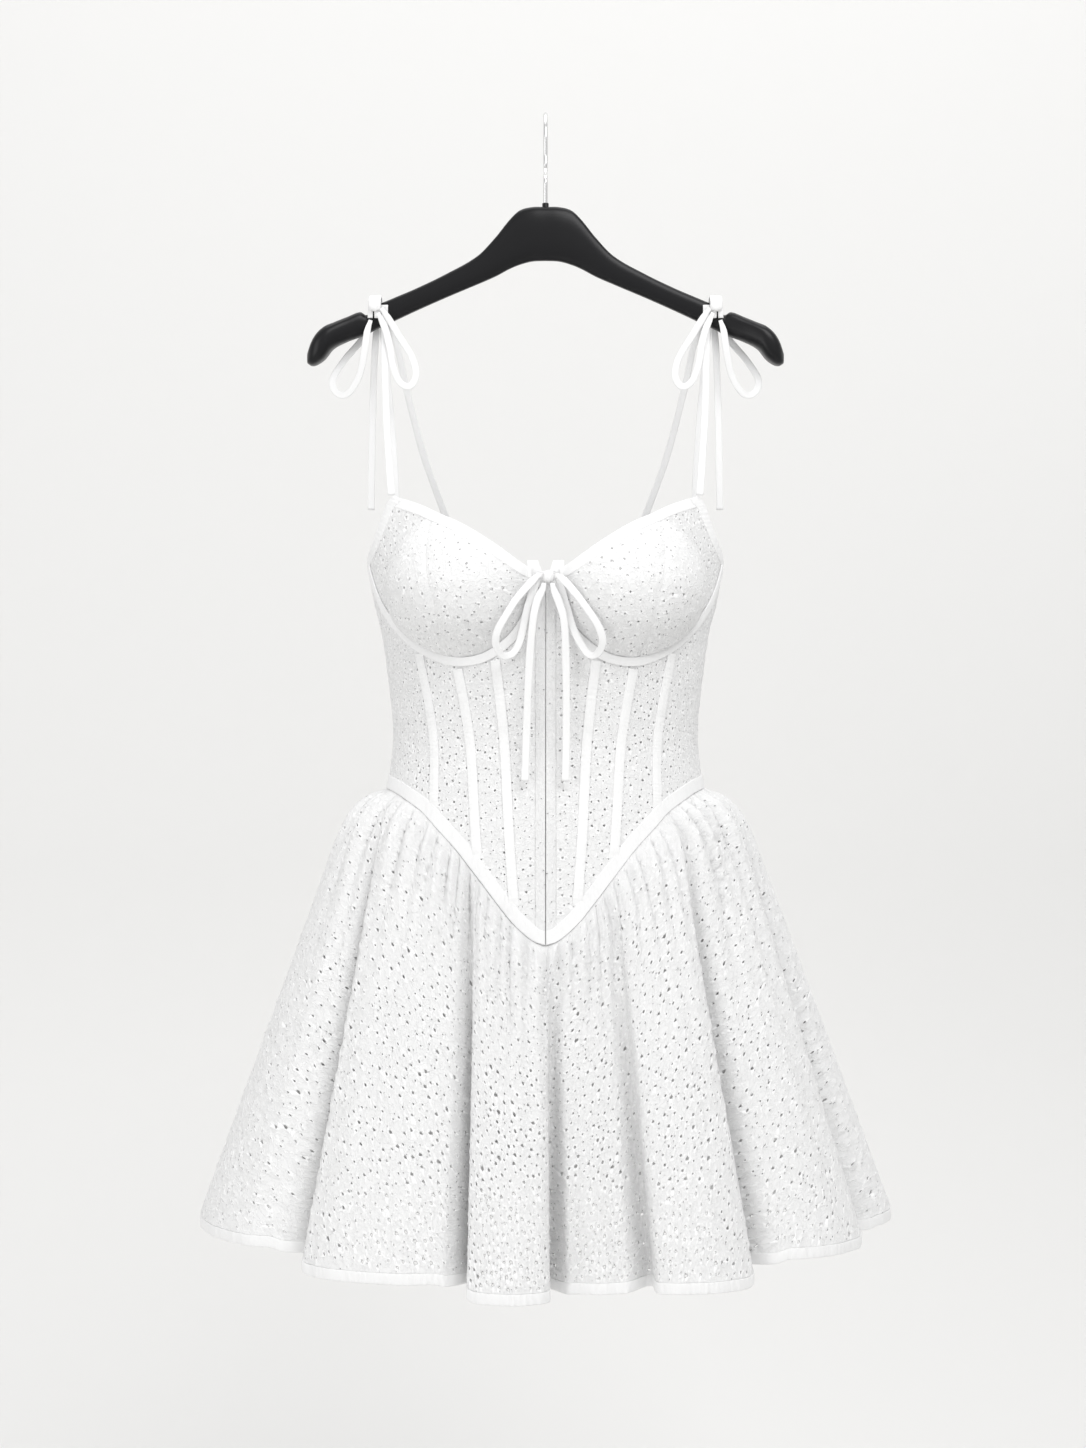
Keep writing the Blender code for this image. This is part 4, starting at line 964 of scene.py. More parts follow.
def make_channels(material):
    """The channels for the underwires and the bones."""
    arc = underwire()
    edges = [resampled(beside(arc, distance), 150) for distance in (-SEAM_GAP, -UNDERWIRE_WIDTH)]
    soft = stitched(0.22, 3.4, (0.14, 0.86))
    both_bands("underwire_channel", *edges, 0.0, 1.9, flat_bodice, material, soft, 20)
    reach = CHANNEL_WIDTH / 2
    for i, (name, top, foot) in enumerate(BONING_SEAMS):
        line = seam_line(top, foot, 120)
        line = resampled(line[line[0][1] - line[:, 1] > UNDERWIRE_WIDTH + reach / 2], 130)
        soft = stitched(0.5, 2.6, (0.12, 0.88), offset=31 * i)
        left, right = beside(line, -reach), beside(line, reach)
        title = "boning_channel_" + name
        both_bands(title, left, right, -0.3, 1.5, flat_bodice, material, soft, 20, taper=9)


def make_waist_band(material):
    """The band on the waist seam: two pointed front halves and a level back."""
    soft = stitched(0.55, 3.6, (0.16, 0.86), slant=4)
    rows = []
    for distance in (WAIST_BAND_WIDTH, 0):
        edge = waist_edge(distance)
        last = angle_at(OPENING_HALF, edge[-1][1])
        rows.append(resampled(np.vstack([edge[:-1][edge[:-1, 0] < last], (last, edge[-1][1])]), 190))
    both_bands("waist_band_front", *rows, -1.6, 0.8, flat_bodice, material, soft, 20)
    heights = (WAIST_SIDE + WAIST_BAND_WIDTH, WAIST_SIDE)
    rows = [straight((180, height), (360, height), 260) for height in heights]
    band("waist_band_back", *rows, -1.6, 0.8, flat_bodice, material, soft, around=20)


def make_opening(cloth, tape):
    """The front opening: a puckered placket on each side and a tape behind each."""
    outer = upright(OPENING_HALF + PLACKET_WIDTH, PLACKET_TOP, WAIST_BAND_WIDTH - TUCK, 160)
    inner = upright(OPENING_HALF, PLACKET_TOP, WAIST_BAND_WIDTH - TUCK, 160)
    soft = stitched(0.32, 3.1, (0.2,), slant=2)
    both_bands("placket", outer, inner, -WALL, 0.1, flat_bodice, cloth, soft, 18)
    edge = resampled([(angle_at(across, height), height) for across, height in TAPE_EDGE], 90)
    side = np.array([(angle_at(OPENING_TAPE_WIDTH, height), height) for _, height in edge])
    high = -WALL - 0.3
    soft = ruche(0.12, 3.0)
    band("hook_tape", side, edge, high - WALL, high, flat_bodice, tape, soft)
    band("eye_tape", mirrored(edge)[::-1], mirrored(side)[::-1], high - WALL, high, flat_bodice, tape, soft)


class Skirt:
    """Half of the skirt. Station runs from 0 to 1 along it, and drop from 0 at the waist to 1 at the hem."""

    def __init__(self, start, folds, lobes):
        self.folds, self.lobes = folds, lobes
        self.angles = start + 180 * np.linspace(0, 1, 2881)
        self.run = lengths_along(self.hem_base(self.angles))
        self.centres = [np.interp(fold[0], self.angles, self.run) for fold in folds]
        knots = [(start, start)] + [fold[:2] for fold in folds] + [(start + 180, start + 180)]
        hem_angles, waist_angles = zip(*knots)
        self.waists = np.interp(self.angles, hem_angles, waist_angles)
        hem_run = lengths_along(self.hem_base(self.angles) + self.fold_shift(self.angles, self.run))
        self.seam_run = lengths_along(self.seam_place(self.waists))
        self.stations = (hem_run / hem_run[-1] + self.seam_run / self.seam_run[-1]) / 2
        self.hem_length = hem_run[-1]
        self.pleats = self.make_pleats()
        self.seam_length = self.seam_run[-1]

    @staticmethod
    def hem_base(angle):
        return oval(angle, HEM_HALF_WIDTH, HEM_FRONT_DEPTH, HEM_BACK_DEPTH, HEM_POWER)

    @staticmethod
    def seam_place(angle):
        """Places on the waist seam."""
        height = np.interp(np.minimum(angle, 180 - angle), WAIST_LINE[:, 0], WAIST_LINE[:, 1])
        height = height - POINT_EASE * np.exp(-(((angle - 90) / 2) ** 2))
        return body_place(angle, np.where(angle >= 180, WAIST_SIDE, height))

    def lobe_value(self, run, column):
        """How far the cloth stands out, or its hem's height, changing softly at each fold."""
        value = np.full(np.shape(run), float(self.lobes[0][column]))
        for i, centre in enumerate(self.centres):
            change = self.lobes[i + 1][column] - self.lobes[i][column]
            value = value + change * smooth_step(0.5 + (run - centre) / (4 * self.folds[i][3]))
        return value

    def fold_shift(self, angle, run):
        """How far the folds move the hem's cloth from its plain oval."""
        along = unit(self.hem_base(angle + 0.5) - self.hem_base(angle - 0.5))
        out = np.cross(along, (0, 0, 1))
        inward, sideways = 0.0, 0.0
        for (_, _, depth, mouth, lean), centre in zip(self.folds, self.centres):
            away = (run - centre) / mouth
            narrow, wide = np.exp(-(np.abs(away / FOLD_NARROW) ** 2.6)), np.exp(-((away / FOLD_WIDE) ** 2))
            inward = inward + depth * (FOLD_SHARP * narrow + (1 - FOLD_SHARP) * wide)
            sideways = sideways + FOLD_LEAN * lean * narrow
        return out * (self.lobe_value(run, 0) - inward)[..., None] + along * sideways[..., None]

    def make_pleats(self):
        """The pleats at the waist seam: place along it, depth, width and how far down each one reaches."""
        marks = np.arange(0, self.seam_run[-1], 0.25)
        turns = np.floor((self.gather_phase(marks) + math.pi / 2) / (2 * math.pi))
        places = marks[1:][np.diff(turns) > 0]
        kinds = []
        for kind in (MAIN_PLEATS, SMALL_PLEATS):
            shift, *sizes = [RANDOM.uniform(*limits, len(places)) for limits in kind]
            kinds.append(np.stack([places + shift, *sizes]))
        return np.hstack(kinds).T

    @staticmethod
    def gather_phase(seam_run):
        drift = GATHER_DRIFT * np.sin(seam_run / GATHER_DRIFT_RUN)
        return 2 * math.pi * (seam_run + drift) / GATHER_PITCH

    def gathers(self, seam_run, run, fallen, drop):
        """Pleats that start sharp at the waist seam and die out down the cloth, and soft long folds below."""
        strength = 0.75 + 0.25 * np.sin(seam_run / GATHER_CHANGE_RUN)
        fade = np.exp(-fallen / (GATHER_FADE * strength))
        swell = 0.6 * GATHER_DEPTH * np.sin(self.gather_phase(seam_run)) * strength * fade
        for place, depth, width, reach in self.pleats:
            near = np.abs(seam_run - place) < 7 * width
            wider = width * (1 + fallen[near] / 70)
            wander = 1.6 * np.sin(fallen[near] / 23 + place)
            away = np.abs(seam_run[near] - place - wander) / wider
            swell[near] -= depth * np.exp(-(away**1.2)) * np.exp(-((fallen[near] / reach) ** 1.3))
        swell = swell + PLEAT_SWELL * np.exp(-fallen / PLEAT_SWELL_FADE)
        rise = smooth_step((fallen + 0.5) / PLEAT_START)
        soft = np.sin(run / 6.1 + 1.9 * np.sin(run / 29)) + 0.7 * np.sin(run / 3.7 + 2.3 * np.sin(run / 17))
        low = np.clip(drop * 3, 0, 1) * (1 - 0.55 * drop)
        return (swell + 1.2) * rise - 0.5 * (1 - rise) + 0.8 * low * soft

    def at(self, station, drop):
        """Places on the skirt's outer face."""
        angle, run, waist, seam_run = (
            np.interp(station, self.stations, values)
            for values in (self.angles, self.run, self.waists, self.seam_run)
        )
        seam = self.seam_place(waist)
        seam[..., 2] -= WAIST_GAP
        hem = self.hem_base(angle)
        hem[..., 2] = self.lobe_value(run, 1) + HEM_BAND_WIDTH + HEM_GAP
        fallen = (seam[..., 2] - hem[..., 2]) * drop
        spread = PUFF_SHARE * (1 - np.exp(-fallen / PUFF_LENGTH)) + (1 - PUFF_SHARE) * drop
        place = seam + (hem - seam) * spread[..., None]
        place[..., 2] = seam[..., 2] - fallen
        out = hem - seam
        out[..., 2] = 0
        fallen = np.maximum(fallen, 0)
        growth = np.maximum(drop, 0) ** 0.85 * (1 - np.exp(-fallen / 12))
        place = place + self.fold_shift(angle, run) * growth[..., None]
        return place + unit(out) * self.gathers(seam_run, run, fallen, drop)[..., None]


def make_skirt(name, half, material, tape, eyelet_count):
    """Half of the skirt's cloth, with its eyelets, and the band along its hem."""
    top, bottom = half.seam_length * SEAM_EASE, half.hem_length

    def width_at(drop):
        return top + (bottom - top) * drop

    def split(plane):
        drop = -plane[:, 1] / SKIRT_TALL
        return np.clip(plane[:, 0] / width_at(drop) + 0.5, 0, 1), drop

    def face(station, drop):
        step = 0.002
        along = half.at(np.clip(station + step, 0, 1), drop) - half.at(np.clip(station - step, 0, 1), drop)
        down = half.at(station, drop + 0.005) - half.at(station, drop - 0.005)
        return unit(np.cross(down, along)), along, down

    def place(plane, lift):
        station, drop = split(plane)
        return half.at(station, drop) + face(station, drop)[0] * lift[:, None]

    def scale(plane):
        station, drop = split(plane)
        _, along, down = face(station, drop)
        wide = np.linalg.norm(along, axis=1) / (0.004 * width_at(drop))
        tall = np.linalg.norm(down, axis=1) / (0.01 * SKIRT_TALL)
        return np.stack([1 / np.clip(wide, 0.5, 3), 1 / np.clip(tall, 0.5, 2)], 1)

    span = width_at(-TUCKED_UP / SKIRT_TALL) / 2
    upper = np.stack([np.linspace(-span, span, 330), np.full(330, TUCKED_UP)], 1)
    lower = np.stack([np.linspace(bottom / 2, -bottom / 2, 420), np.full(420, -SKIRT_TALL)], 1)
    sides = [straight(upper[-1], lower[0], 70), straight(lower[-1], upper[0], 70)]
    outline = np.vstack([upper[:-1], sides[0][:-1], lower[:-1], sides[1][:-1]])
    rows, y = [], LATTICE_START
    while y < SKIRT_TALL - 2:
        share = y / SKIRT_TALL
        across, down = (least + more * min(1, share / run) for least, more, run in LATTICE)
        span = width_at(share)
        x = np.linspace(-span / 2, span / 2, int(span / across) + (len(rows) % 2))[1:-1]
        rows.append(np.stack([x, np.full(len(x), -y)], 1))
        y += down
    eyelets = scattered(outline, SKIRT_EYELET_SPACING, SKIRT_EYELET_TRIES, SKIRT_EYELET_MARGIN)
    station, drop = split(eyelets)
    stretch = np.linalg.norm(face(station, drop)[1], axis=1) / (0.004 * width_at(drop))
    eyelets = eyelets[(stretch < FLATTEST_STRETCH) & (drop > FIRST_EYELETS)][:eyelet_count]
    drop = -eyelets[:, 1] / SKIRT_TALL
    radii = 0.65 + 0.8 * RANDOM.random(len(eyelets)) ** 1.5 + 0.3 * drop
    radii = radii + 0.45 * (RANDOM.random(len(eyelets)) > 0.85)
    item = eyelet_cloth("skirt_" + name, outline, np.vstack(rows), eyelets, radii, place, scale, material)

    count, around = 900, 14
    station = np.linspace(0, 1, count)
    turn = 2 * math.pi * np.arange(around) / around
    share = 0.5 - 0.5 * signed_power(np.cos(turn), TAPE_POWER)
    rise = signed_power(np.sin(turn), TAPE_POWER)
    edge = half.at(station, np.ones(count))
    out = face(station, np.ones(count))[0]
    out[:, 2] = 0
    out = unit(out)
    run = lengths_along(edge)
    soft = stitched(0.5, 5.2, (0.14,), slant=6)
    bulge = rise[None] * 1.0 - 0.6 + np.clip(rise, 0, 1)[None] * soft(run[:, None], share[None])
    places = edge[:, None] + out[:, None] * bulge[..., None]
    places[..., 2] -= 0.3 + (HEM_BAND_WIDTH + HEM_GAP - 0.3) * share[None]
    uv = np.stack(np.broadcast_arrays(run[:, None], share[None] * HEM_BAND_WIDTH), -1).reshape(-1, 2)
    title, faces = "hem_band_" + name, tube_faces(count, around)
    make_object(title, places.reshape(-1, 3), faces, uv, tape, (title,))


def route_through(points, spacing):
    """Places on a smooth curve through the points, about this far apart."""
    keyed = [(i, *point) for i, point in enumerate(points)]
    last = len(points) - 1
    dense = np.array([smooth_row(keyed, last * i / (24 * last)) for i in range(24 * last + 1)])
    run = lengths_along(dense)
    count = max(3, round(run[-1] / spacing) + 1)
    wanted = np.linspace(0, run[-1], count)
    return np.stack([np.interp(wanted, run, dense[:, k]) for k in range(3)], 1)


def ribbon(name, points, width, material, tapers):
    """A folded tape along a curve, its broad side to the front. Returns the piece and its middle line."""
    route = route_through(points, 2.4)
    count, around = len(route), 12
    run = lengths_along(route)
    along = unit(np.gradient(route, axis=0))
    across = unit(np.cross(along, (0, -1, 0)))
    out = unit(np.cross(across, along))
    turn = 2 * math.pi * np.arange(around) / around
    wide = width * (0.97 + 0.03 * np.sin(run / 9.0 + width)) / 2
    if tapers[0]:
        wide = wide * (0.62 + 0.38 * smooth_step(run / 12))
    if tapers[1]:
        wide = wide * (0.62 + 0.38 * smooth_step((run[-1] - run) / 12))
    side, rise = signed_power(np.cos(turn), 3.4), signed_power(np.sin(turn), 3.4)
    groove = 0.22 * np.exp(-(((side - 0.55) / 0.12) ** 2)) * (rise > 0)
    soft = 0.10 * np.sin(run[:, None] / 2.3 + 3 * side[None]) * (rise > 0)[None]
    lift = (rise[None] * TAPE_THICK / 2 - groove[None] + soft)[..., None]
    reach = (wide[:, None] * side[None])[..., None]
    places = (route[:, None] + across[:, None] * reach + out[:, None] * lift).reshape(-1, 3)
    uv = np.stack(np.broadcast_arrays(run[:, None], (side * width / 2)[None]), -1).reshape(-1, 2)
    faces = tube_faces(count, around)
    return make_object(name, places, faces, uv, material, (name,)), route


def other_side(points):
    return [(-x, y, z) for x, y, z in points]


def make_ties(material):
    """The straps, ties and bow."""
    for table, sides in ((SHOULDER_TIES, ("_left", "_right")), (FRONT_BOW, ("",))):
        for name, width, points in table:
            for side in sides:
                line = other_side(points) if side == "_right" else points
                loop, tail = "loop" in name, "tail" in name
                item, route = ribbon(name + side, line, width, material, (loop or tail, loop))


def knot(name, centre, size, material, replaced=()):
    """A tight turn of folded tape, with the dips between its turns."""
    rows, columns = 24, 36
    theta = np.linspace(0.02, math.pi - 0.02, rows)[:, None]
    phi = np.linspace(0, 2 * math.pi, columns, endpoint=False)[None]
    x = np.cos(theta) * np.ones_like(phi)
    y = np.sin(theta) * np.cos(phi)
    z = np.sin(theta) * np.sin(phi)
    body = np.stack([signed_power(v, 2.7) for v in (x, y, z)], -1)
    dips = 1 - 0.09 * np.exp(-(((x - 0.28 * z) / 0.09) ** 2))
    dips = dips - 0.07 * np.exp(-(((x + 0.5 - 0.2 * z) / 0.08) ** 2))
    dips = dips - 0.07 * np.exp(-(((x - 0.55 - 0.25 * z) / 0.08) ** 2))
    places = np.asarray(centre) + body * dips[..., None] * np.asarray(size)
    uv = np.stack([x * size[0], phi * size[2] * np.ones_like(theta)], -1).reshape(-1, 2)
    return make_object(
        name, places.reshape(-1, 3), tube_faces(rows, columns), uv, material, replaced
    )


def make_knots(material):
    """The turns of tape over the hanger's arms, a wrap in front of each, and the bow's knot."""
    for side, name in ((-1, "left"), (1, "right")):
        strands = []
        for i, (across, lean, wide) in enumerate(((152.6, 1.2, 4.6), (148.4, -0.8, 4.8), (145.9, 0.6, 3.6))):
            points = [
                (side * (across + lean), -9.9, -178.3),
                (side * (across + lean / 2), -10.4, -168.0),
                (side * across, -8.6, -160.6 + 0.2 * i),
                (side * across, 0.0, -159.2 + 0.3 * i),
                (side * across, 8.6, -160.8 + 0.2 * i),
                (side * (across - lean / 2), 10.6, -168.0),
                (side * (across - lean), 10.4, -178.3),
            ]
            strands.append((points, wide))
        meshes = []
        for points, wide in strands:
            route = route_through(points, 1.6)
            meshes.append(strap_round(route, wide, 2.6))
        joined(f"tie_knot_{name}", meshes, material)
        knot(f"tie_wrap_{name}", (side * 149.6, -13.0, -167.5), (5.6, 3.6, 5.4), material)
    knot("bow_knot", (2.4, -97.0, -409.4), (4.7, 6.2, 5.4), material, ("bow_knot",))


def strap_round(route, wide, thick):
    """A strap bent over the hanger's arm, its broad side turned away from the arm's middle."""
    along = unit(np.gradient(route, axis=0))
    across = np.tile((1.0, 0.0, 0.0), (len(route), 1))
    out = unit(np.cross(across, along))
    middle = route.mean(0)
    if ((route - middle) * out).sum() < 0:
        out = -out
    turn = 2 * math.pi * np.arange(12) / 12
    side, rise = signed_power(np.cos(turn), 3), signed_power(np.sin(turn), 3)
    places = route[:, None] + across[:, None] * (side * wide / 2)[None, :, None]
    places = places + out[:, None] * (rise * thick / 2)[None, :, None]
    uv = np.stack(np.broadcast_arrays(lengths_along(route)[:, None], (side * wide / 2)[None]), -1)
    return places.reshape(-1, 3), tube_faces(len(route), 12), uv.reshape(-1, 2)


def joined(name, meshes, material):
    """One piece of tape from several meshes."""
    points, faces, uvs, start = [], [], [], 0
    for places, found, uv in meshes:
        points.append(places)
        uvs.append(uv)
        faces += [tuple(start + i for i in face) for face in found]
        start += len(places)
    return make_object(name, np.vstack(points), faces, np.vstack(uvs), material, (name,))


def tube_along(route, radius, around=20):
    """A round wire along places in the plane of depth and height."""
    along = unit(np.gradient(route, axis=0))
    across = np.tile((1.0, 0.0, 0.0), (len(route), 1))
    out = unit(np.cross(across, along))
    turn = 2 * math.pi * np.arange(around) / around
    ring = across[:, None] * np.cos(turn)[None, :, None] + out[:, None] * np.sin(turn)[None, :, None]
    radius = np.broadcast_to(radius, len(route))
    places = route[:, None] + ring * radius[:, None, None]
    uv = np.stack(np.broadcast_arrays(lengths_along(route)[:, None], turn[None]), -1)
    return places.reshape(-1, 3), tube_faces(len(route), around), uv.reshape(-1, 2)


def make_hanger(plastic, steel):
    """The moulded body, the wire hook and the collar round the hook's foot."""
    edge = HANGER_PROFILE[-1][0]
    places = np.linspace(-edge, edge, 281)
    around = 36
    turn = 2 * math.pi * (np.arange(around) + 0.5) / around
    rings = []
    for across in places:
        top, bottom, thick = smooth_row(HANGER_PROFILE, abs(across))
        middle, tall = (top + bottom) / 2, (top - bottom) / 2
        depth = thick * signed_power(np.cos(turn), HANGER_POWER)
        height = middle + tall * signed_power(np.sin(turn), HANGER_POWER)
        rings.append(np.stack([np.full(around, across), depth, height], 1))
    points = np.vstack(rings)
    faces, uv = tube_faces(len(places), around), points[:, (0, 2)]
    make_object("hanger_body", points, faces, uv, plastic, ("hanger_body",))

    foot = HANGER_PROFILE[0][1] + SEAM_GAP
    wire = HOOK_RADIUS + HOOK_WIRE / 2
    turns = np.radians(np.linspace(HOOK_FOOT_ANGLE, 180, 110))
    arc = np.stack([np.zeros(110), wire * np.cos(turns), -HOOK_RADIUS + wire * np.sin(turns)], 1)
    stem = straight((0, 0, foot), (0, 0.2, -HOOK_RADIUS - wire - 4), 12)
    tip = np.array([(0, *place) for place in HOOK_TIP])
    line = np.vstack([stem, arc, tip])
    runs = lengths_along(line)
    wanted = np.linspace(0, runs[-1], 150)
    route = np.stack([np.interp(wanted, runs, line[:, k]) for k in range(3)], 1)
    for _ in range(3):
        route[1:-1] = (route[:-2] + 2 * route[1:-1] + route[2:]) / 4
    radius = np.full(150, HOOK_WIRE / 2)
    radius[-4:] = HOOK_WIRE / 2 * np.array((0.97, 0.88, 0.68, 0.3))
    points, faces, uv = tube_along(route, radius)
    make_object("hanger_hook", points, faces, uv, steel, ("hanger_hook",))

    profile = (
        # radius, height
        (HOOK_WIRE / 2 + 0.2, COLLAR_TOP - 0.2),
        (COLLAR_WIDTH / 2 - 0.4, COLLAR_TOP),
        (COLLAR_WIDTH / 2, COLLAR_TOP - 0.5),
        (COLLAR_WIDTH / 2, foot - 0.6),
        (COLLAR_WIDTH / 2 + 0.5, foot - 1.2),
        (HOOK_WIRE / 2 + 0.2, foot - 1.2),
    )
    turn = 2 * math.pi * np.arange(32) / 32
    rings = [np.stack([r * np.cos(turn), r * np.sin(turn), np.full(32, z)], 1) for r, z in profile]
    points, faces = np.vstack(rings), tube_faces(len(profile), 32)
    uv = points[:, (0, 2)]
    make_object("hanger_collar", points, faces, uv, plastic, ("hanger_collar",))


def add_node(tree, kind, links=(), **settings):
    """A shader node with its sockets set, or linked from other nodes' sockets."""
    node = tree.nodes.new(kind)
    for key, value in settings.items():
        setattr(node, key, value)
    for socket, source in links:
        if hasattr(source, "is_output"):
            tree.links.new(source, node.inputs[socket])
        else:
            node.inputs[socket].default_value = source
    return node


def new_material(name, colour, roughness, metallic=0.0):
    material = bpy.data.materials.new(name)
    material.use_nodes = True
    shader = material.node_tree.nodes["Principled BSDF"]
    shader.inputs["Base Color"].default_value = (*colour, 1)
    shader.inputs["Roughness"].default_value = roughness
    shader.inputs["Metallic"].default_value = metallic
    return material, material.node_tree, shader


def calculate(tree, operation, *values):
    return add_node(tree, "ShaderNodeMath", tuple(enumerate(values)), operation=operation).outputs[0]


def mixed(tree, share, first, second):
    """The first colour where share is 0, and the second where it is 1."""
    links = ((0, share), (6, first), (7, second))
    return add_node(tree, "ShaderNodeMix", links, data_type="RGBA").outputs[2]


def noise(tree, uv, scale, detail, distortion):
    links = (("Vector", uv), ("Scale", scale), ("Detail", detail), ("Distortion", distortion))
    return add_node(tree, "ShaderNodeTexNoise", links).outputs["Fac"]


def cloth_map(tree):
    return add_node(tree, "ShaderNodeUVMap", uv_map="cloth").outputs["UV"]


def bumped(tree, shader, height, strength, distance):
    links = (("Height", height), ("Strength", strength), ("Distance", distance))
    bump = add_node(tree, "ShaderNodeBump", links)
    tree.links.new(bump.outputs["Normal"], shader.inputs["Normal"])


def weave(tree, uv, pitch):
    """The height of a plain weave with this many millimetres to a thread."""
    links = ((0, uv), ("Scale", 0.314 / pitch), ("Distortion", 0.6), ("Detail", 1.0))
    waves = [
        add_node(tree, "ShaderNodeTexWave", links, bands_direction=direction).outputs["Fac"]
        for direction in ("X", "Y")
    ]
    return calculate(tree, "MULTIPLY", *waves)


def map_range(tree, value, low, high, to_low=0.0, to_high=1.0):
    links = (("Value", value), ("From Min", low), ("From Max", high), ("To Min", to_low), ("To Max", to_high))
    return add_node(tree, "ShaderNodeMapRange", links, interpolation_type="SMOOTHSTEP").outputs["Result"]


def make_eyelet_cotton():
    """White cotton with worked curls and pinhole eyelets between the large cut ones. The pinholes and the
    eyelets' walls are painted in shade, and the cloth's inner side in a lighter painted shade.
    """
    ground, worked = (0.85, 0.85, 0.85, 1), (0.93, 0.93, 0.93, 1)
    # Both greys are painted shade: the darker one for pinholes and eyelet walls, the lighter one for the
    # cloth's inner side
    shade, inner = (0.4, 0.4, 0.4, 1), (0.62, 0.62, 0.62, 1)
    material, tree, shader = new_material("eyelet_cotton", ground[:3], 0.92)
    uv = cloth_map(tree)
    links = (("Vector", uv), ("Scale", 0.235), ("Randomness", 0.9))
    spots = add_node(tree, "ShaderNodeTexVoronoi", links, feature="F1")
    away, tint = spots.outputs["Distance"], spots.outputs["Color"]
    chosen = add_node(tree, "ShaderNodeSeparateColor", ((0, tint),)).outputs[0]
    chosen = calculate(tree, "GREATER_THAN", chosen, 0.42)
    # Pinholes painted in the dark shade colour, which stands in for the shade seen through them; the same
    # mask also dips the bump
    pinhole_shade = calculate(tree, "MULTIPLY", map_range(tree, away, 0.12, 0.17, 1.0, 0.0), chosen)
    collar = calculate(tree, "MULTIPLY", map_range(tree, away, 0.17, 0.32, 1.0, 0.0), chosen)
    off = calculate(tree, "SUBTRACT", noise(tree, uv, 0.27, 0.0, 0.8), 0.5)
    curl = map_range(tree, calculate(tree, "ABSOLUTE", off), 0.015, 0.06, 1.0, 0.0)
    rim_and_wall_shade = add_node(tree, "ShaderNodeAttribute", attribute_name="rim_and_wall_shade").outputs["Fac"]
    # Eyelet walls painted in the dark shade colour where the attribute falls below 0
    painted_wall_shade = map_range(tree, rim_and_wall_shade, -0.9, 0.3, 1.0, 0.0)
    # The cloth's inner side, seen through the holes and under the hem, painted in the lighter shade
    back = add_node(tree, "ShaderNodeNewGeometry").outputs["Backfacing"]
    colour = ground
    # The last three layers paint shade: pinholes and eyelet walls dark, the cloth's inner side lighter
    layers = (curl, worked), (collar, worked), (pinhole_shade, shade), (rim_and_wall_shade, worked), (painted_wall_shade, shade), (back, inner)
    for share, painted in layers:
        colour = mixed(tree, share, colour, painted)
    tree.links.new(colour, shader.inputs["Base Color"])
    height = calculate(tree, "MULTIPLY_ADD", curl, 0.8, collar)
    height = calculate(tree, "MULTIPLY_ADD", weave(tree, uv, 0.5), 0.18, height)
    height = calculate(tree, "MULTIPLY_ADD", pinhole_shade, -1.8, height)
    bumped(tree, shader, height, 0.8, 0.0004)
    return material


def make_tape_cotton():
    """The plain cotton of the tapes and bindings, with its weave and small creases."""
    material, tree, shader = new_material("cotton_tape", (0.85, 0.85, 0.85), 0.9)
    uv = cloth_map(tree)
    height = calculate(tree, "MULTIPLY_ADD", weave(tree, uv, 0.45), 0.25, noise(tree, uv, 0.9, 3.0, 0.3))
    bumped(tree, shader, height, 0.45, 0.0004)
    return material


def make_plastic():
    material, tree, shader = new_material("black_plastic", (0.006, 0.006, 0.007), 0.3)
    shader.inputs["Specular IOR Level"].default_value = 0.25
    grain = add_node(tree, "ShaderNodeTexNoise", (("Scale", 420.0), ("Detail", 2.0)))
    bumped(tree, shader, grain.outputs["Fac"], 0.05, 0.0003)
    return material


def make_steel():
    return new_material("hook_steel", (0.72, 0.72, 0.72), 0.22, 1.0)[0]


def make_light(name, place, target, size, power):
    """A rectangular studio light turned to the target."""
    data = bpy.data.lights.new(name, "AREA")
    data.shape = "RECTANGLE"
    data.size, data.size_y = size
    data.energy = power
    item = bpy.data.objects.new(name, data)
    item.location = place
    item.rotation_euler = (Vector(target) - Vector(place)).to_track_quat("-Z", "Y").to_euler()
    bpy.context.scene.collection.objects.link(item)


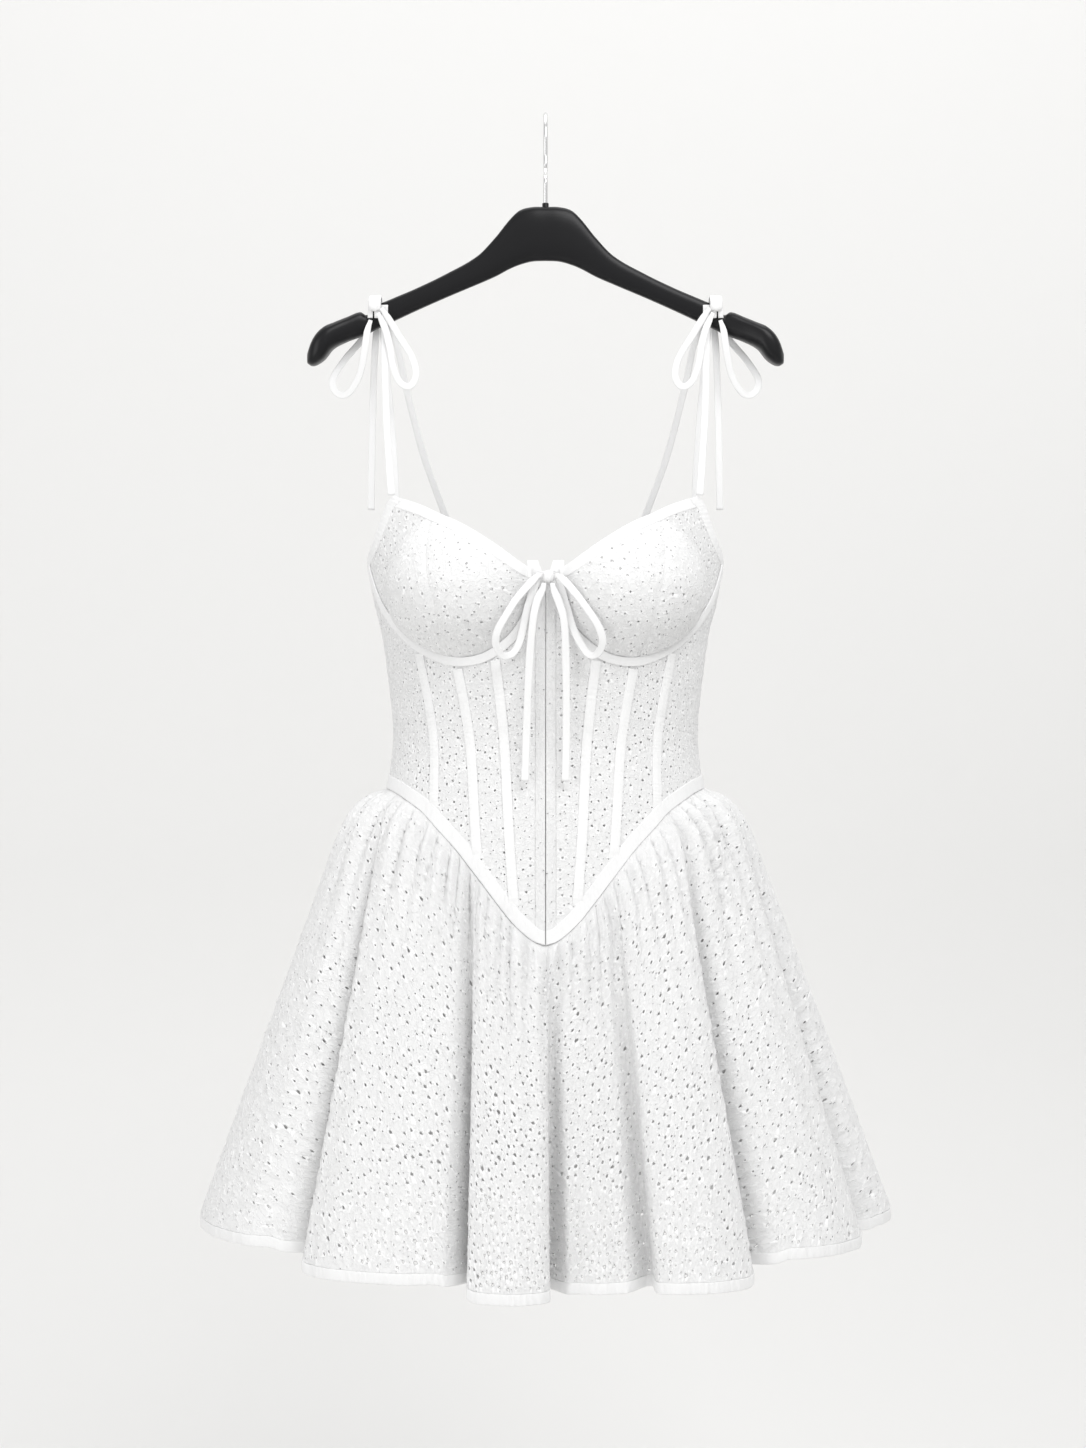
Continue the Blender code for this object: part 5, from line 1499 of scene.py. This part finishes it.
def make_stage():
    """A plain pale sweep, the studio light and the camera."""
    colour, _, _ = new_material("sweep", (0.755, 0.752, 0.744), 0.95)
    profile = [(-6.0, 0.0), (-3.0, 0.0), (0.2, 0.0)]
    profile += [(0.2 + 0.9 * math.sin(a), 0.9 - 0.9 * math.cos(a)) for a in np.radians(np.arange(6, 91, 6))]
    profile += [(1.1, 2.0), (1.1, 4.0)]
    floor = -1.62
    mesh = bpy.data.meshes.new("sweep")
    points = [(x, y, floor + z) for y, z in profile for x in (-6.0, 6.0)]
    faces = [(2 * i, 2 * i + 1, 2 * i + 3, 2 * i + 2) for i in range(len(profile) - 1)]
    mesh.from_pydata(points, [], faces)
    mesh.shade_smooth()
    mesh.materials.append(colour)
    sweep = bpy.data.objects.new("sweep", mesh)
    bpy.context.scene.collection.objects.link(sweep)

    for name, place, size, power in LIGHTS:
        make_light(name, place, (0, 0, -0.55), size, power)
    world = bpy.data.worlds.new("studio")
    bpy.context.scene.world = world
    world.use_nodes = True
    background = world.node_tree.nodes["Background"]
    background.inputs["Color"].default_value = (1, 1, 1, 1)
    background.inputs["Strength"].default_value = 0.75
    bpy.context.scene.view_settings.view_transform = "Standard"

    data = bpy.data.cameras.new("camera")
    data.lens = 70.6
    camera = bpy.data.objects.new("camera", data)
    camera.location = (-0.0022, -2.5, -0.5343)
    camera.rotation_euler = (math.radians(90), 0, 0)
    bpy.context.scene.collection.objects.link(camera)
    bpy.context.scene.camera = camera


def main():
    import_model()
    cotton, tape = make_eyelet_cotton(), make_tape_cotton()
    make_ties(tape)
    make_knots(tape)
    make_hanger(make_plastic(), make_steel())
    make_cups(cotton)
    make_front_panels(cotton)
    make_back_panels(cotton)
    make_channels(tape)
    make_bindings(tape)
    make_waist_band(tape)
    make_opening(cotton, tape)
    make_skirt("front", Skirt(0, FRONT_FOLDS, FRONT_LOBES), cotton, tape, FRONT_EYELETS)
    make_skirt("back", Skirt(180, BACK_FOLDS, BACK_LOBES), cotton, tape, BACK_EYELETS)
    make_stage()


main()
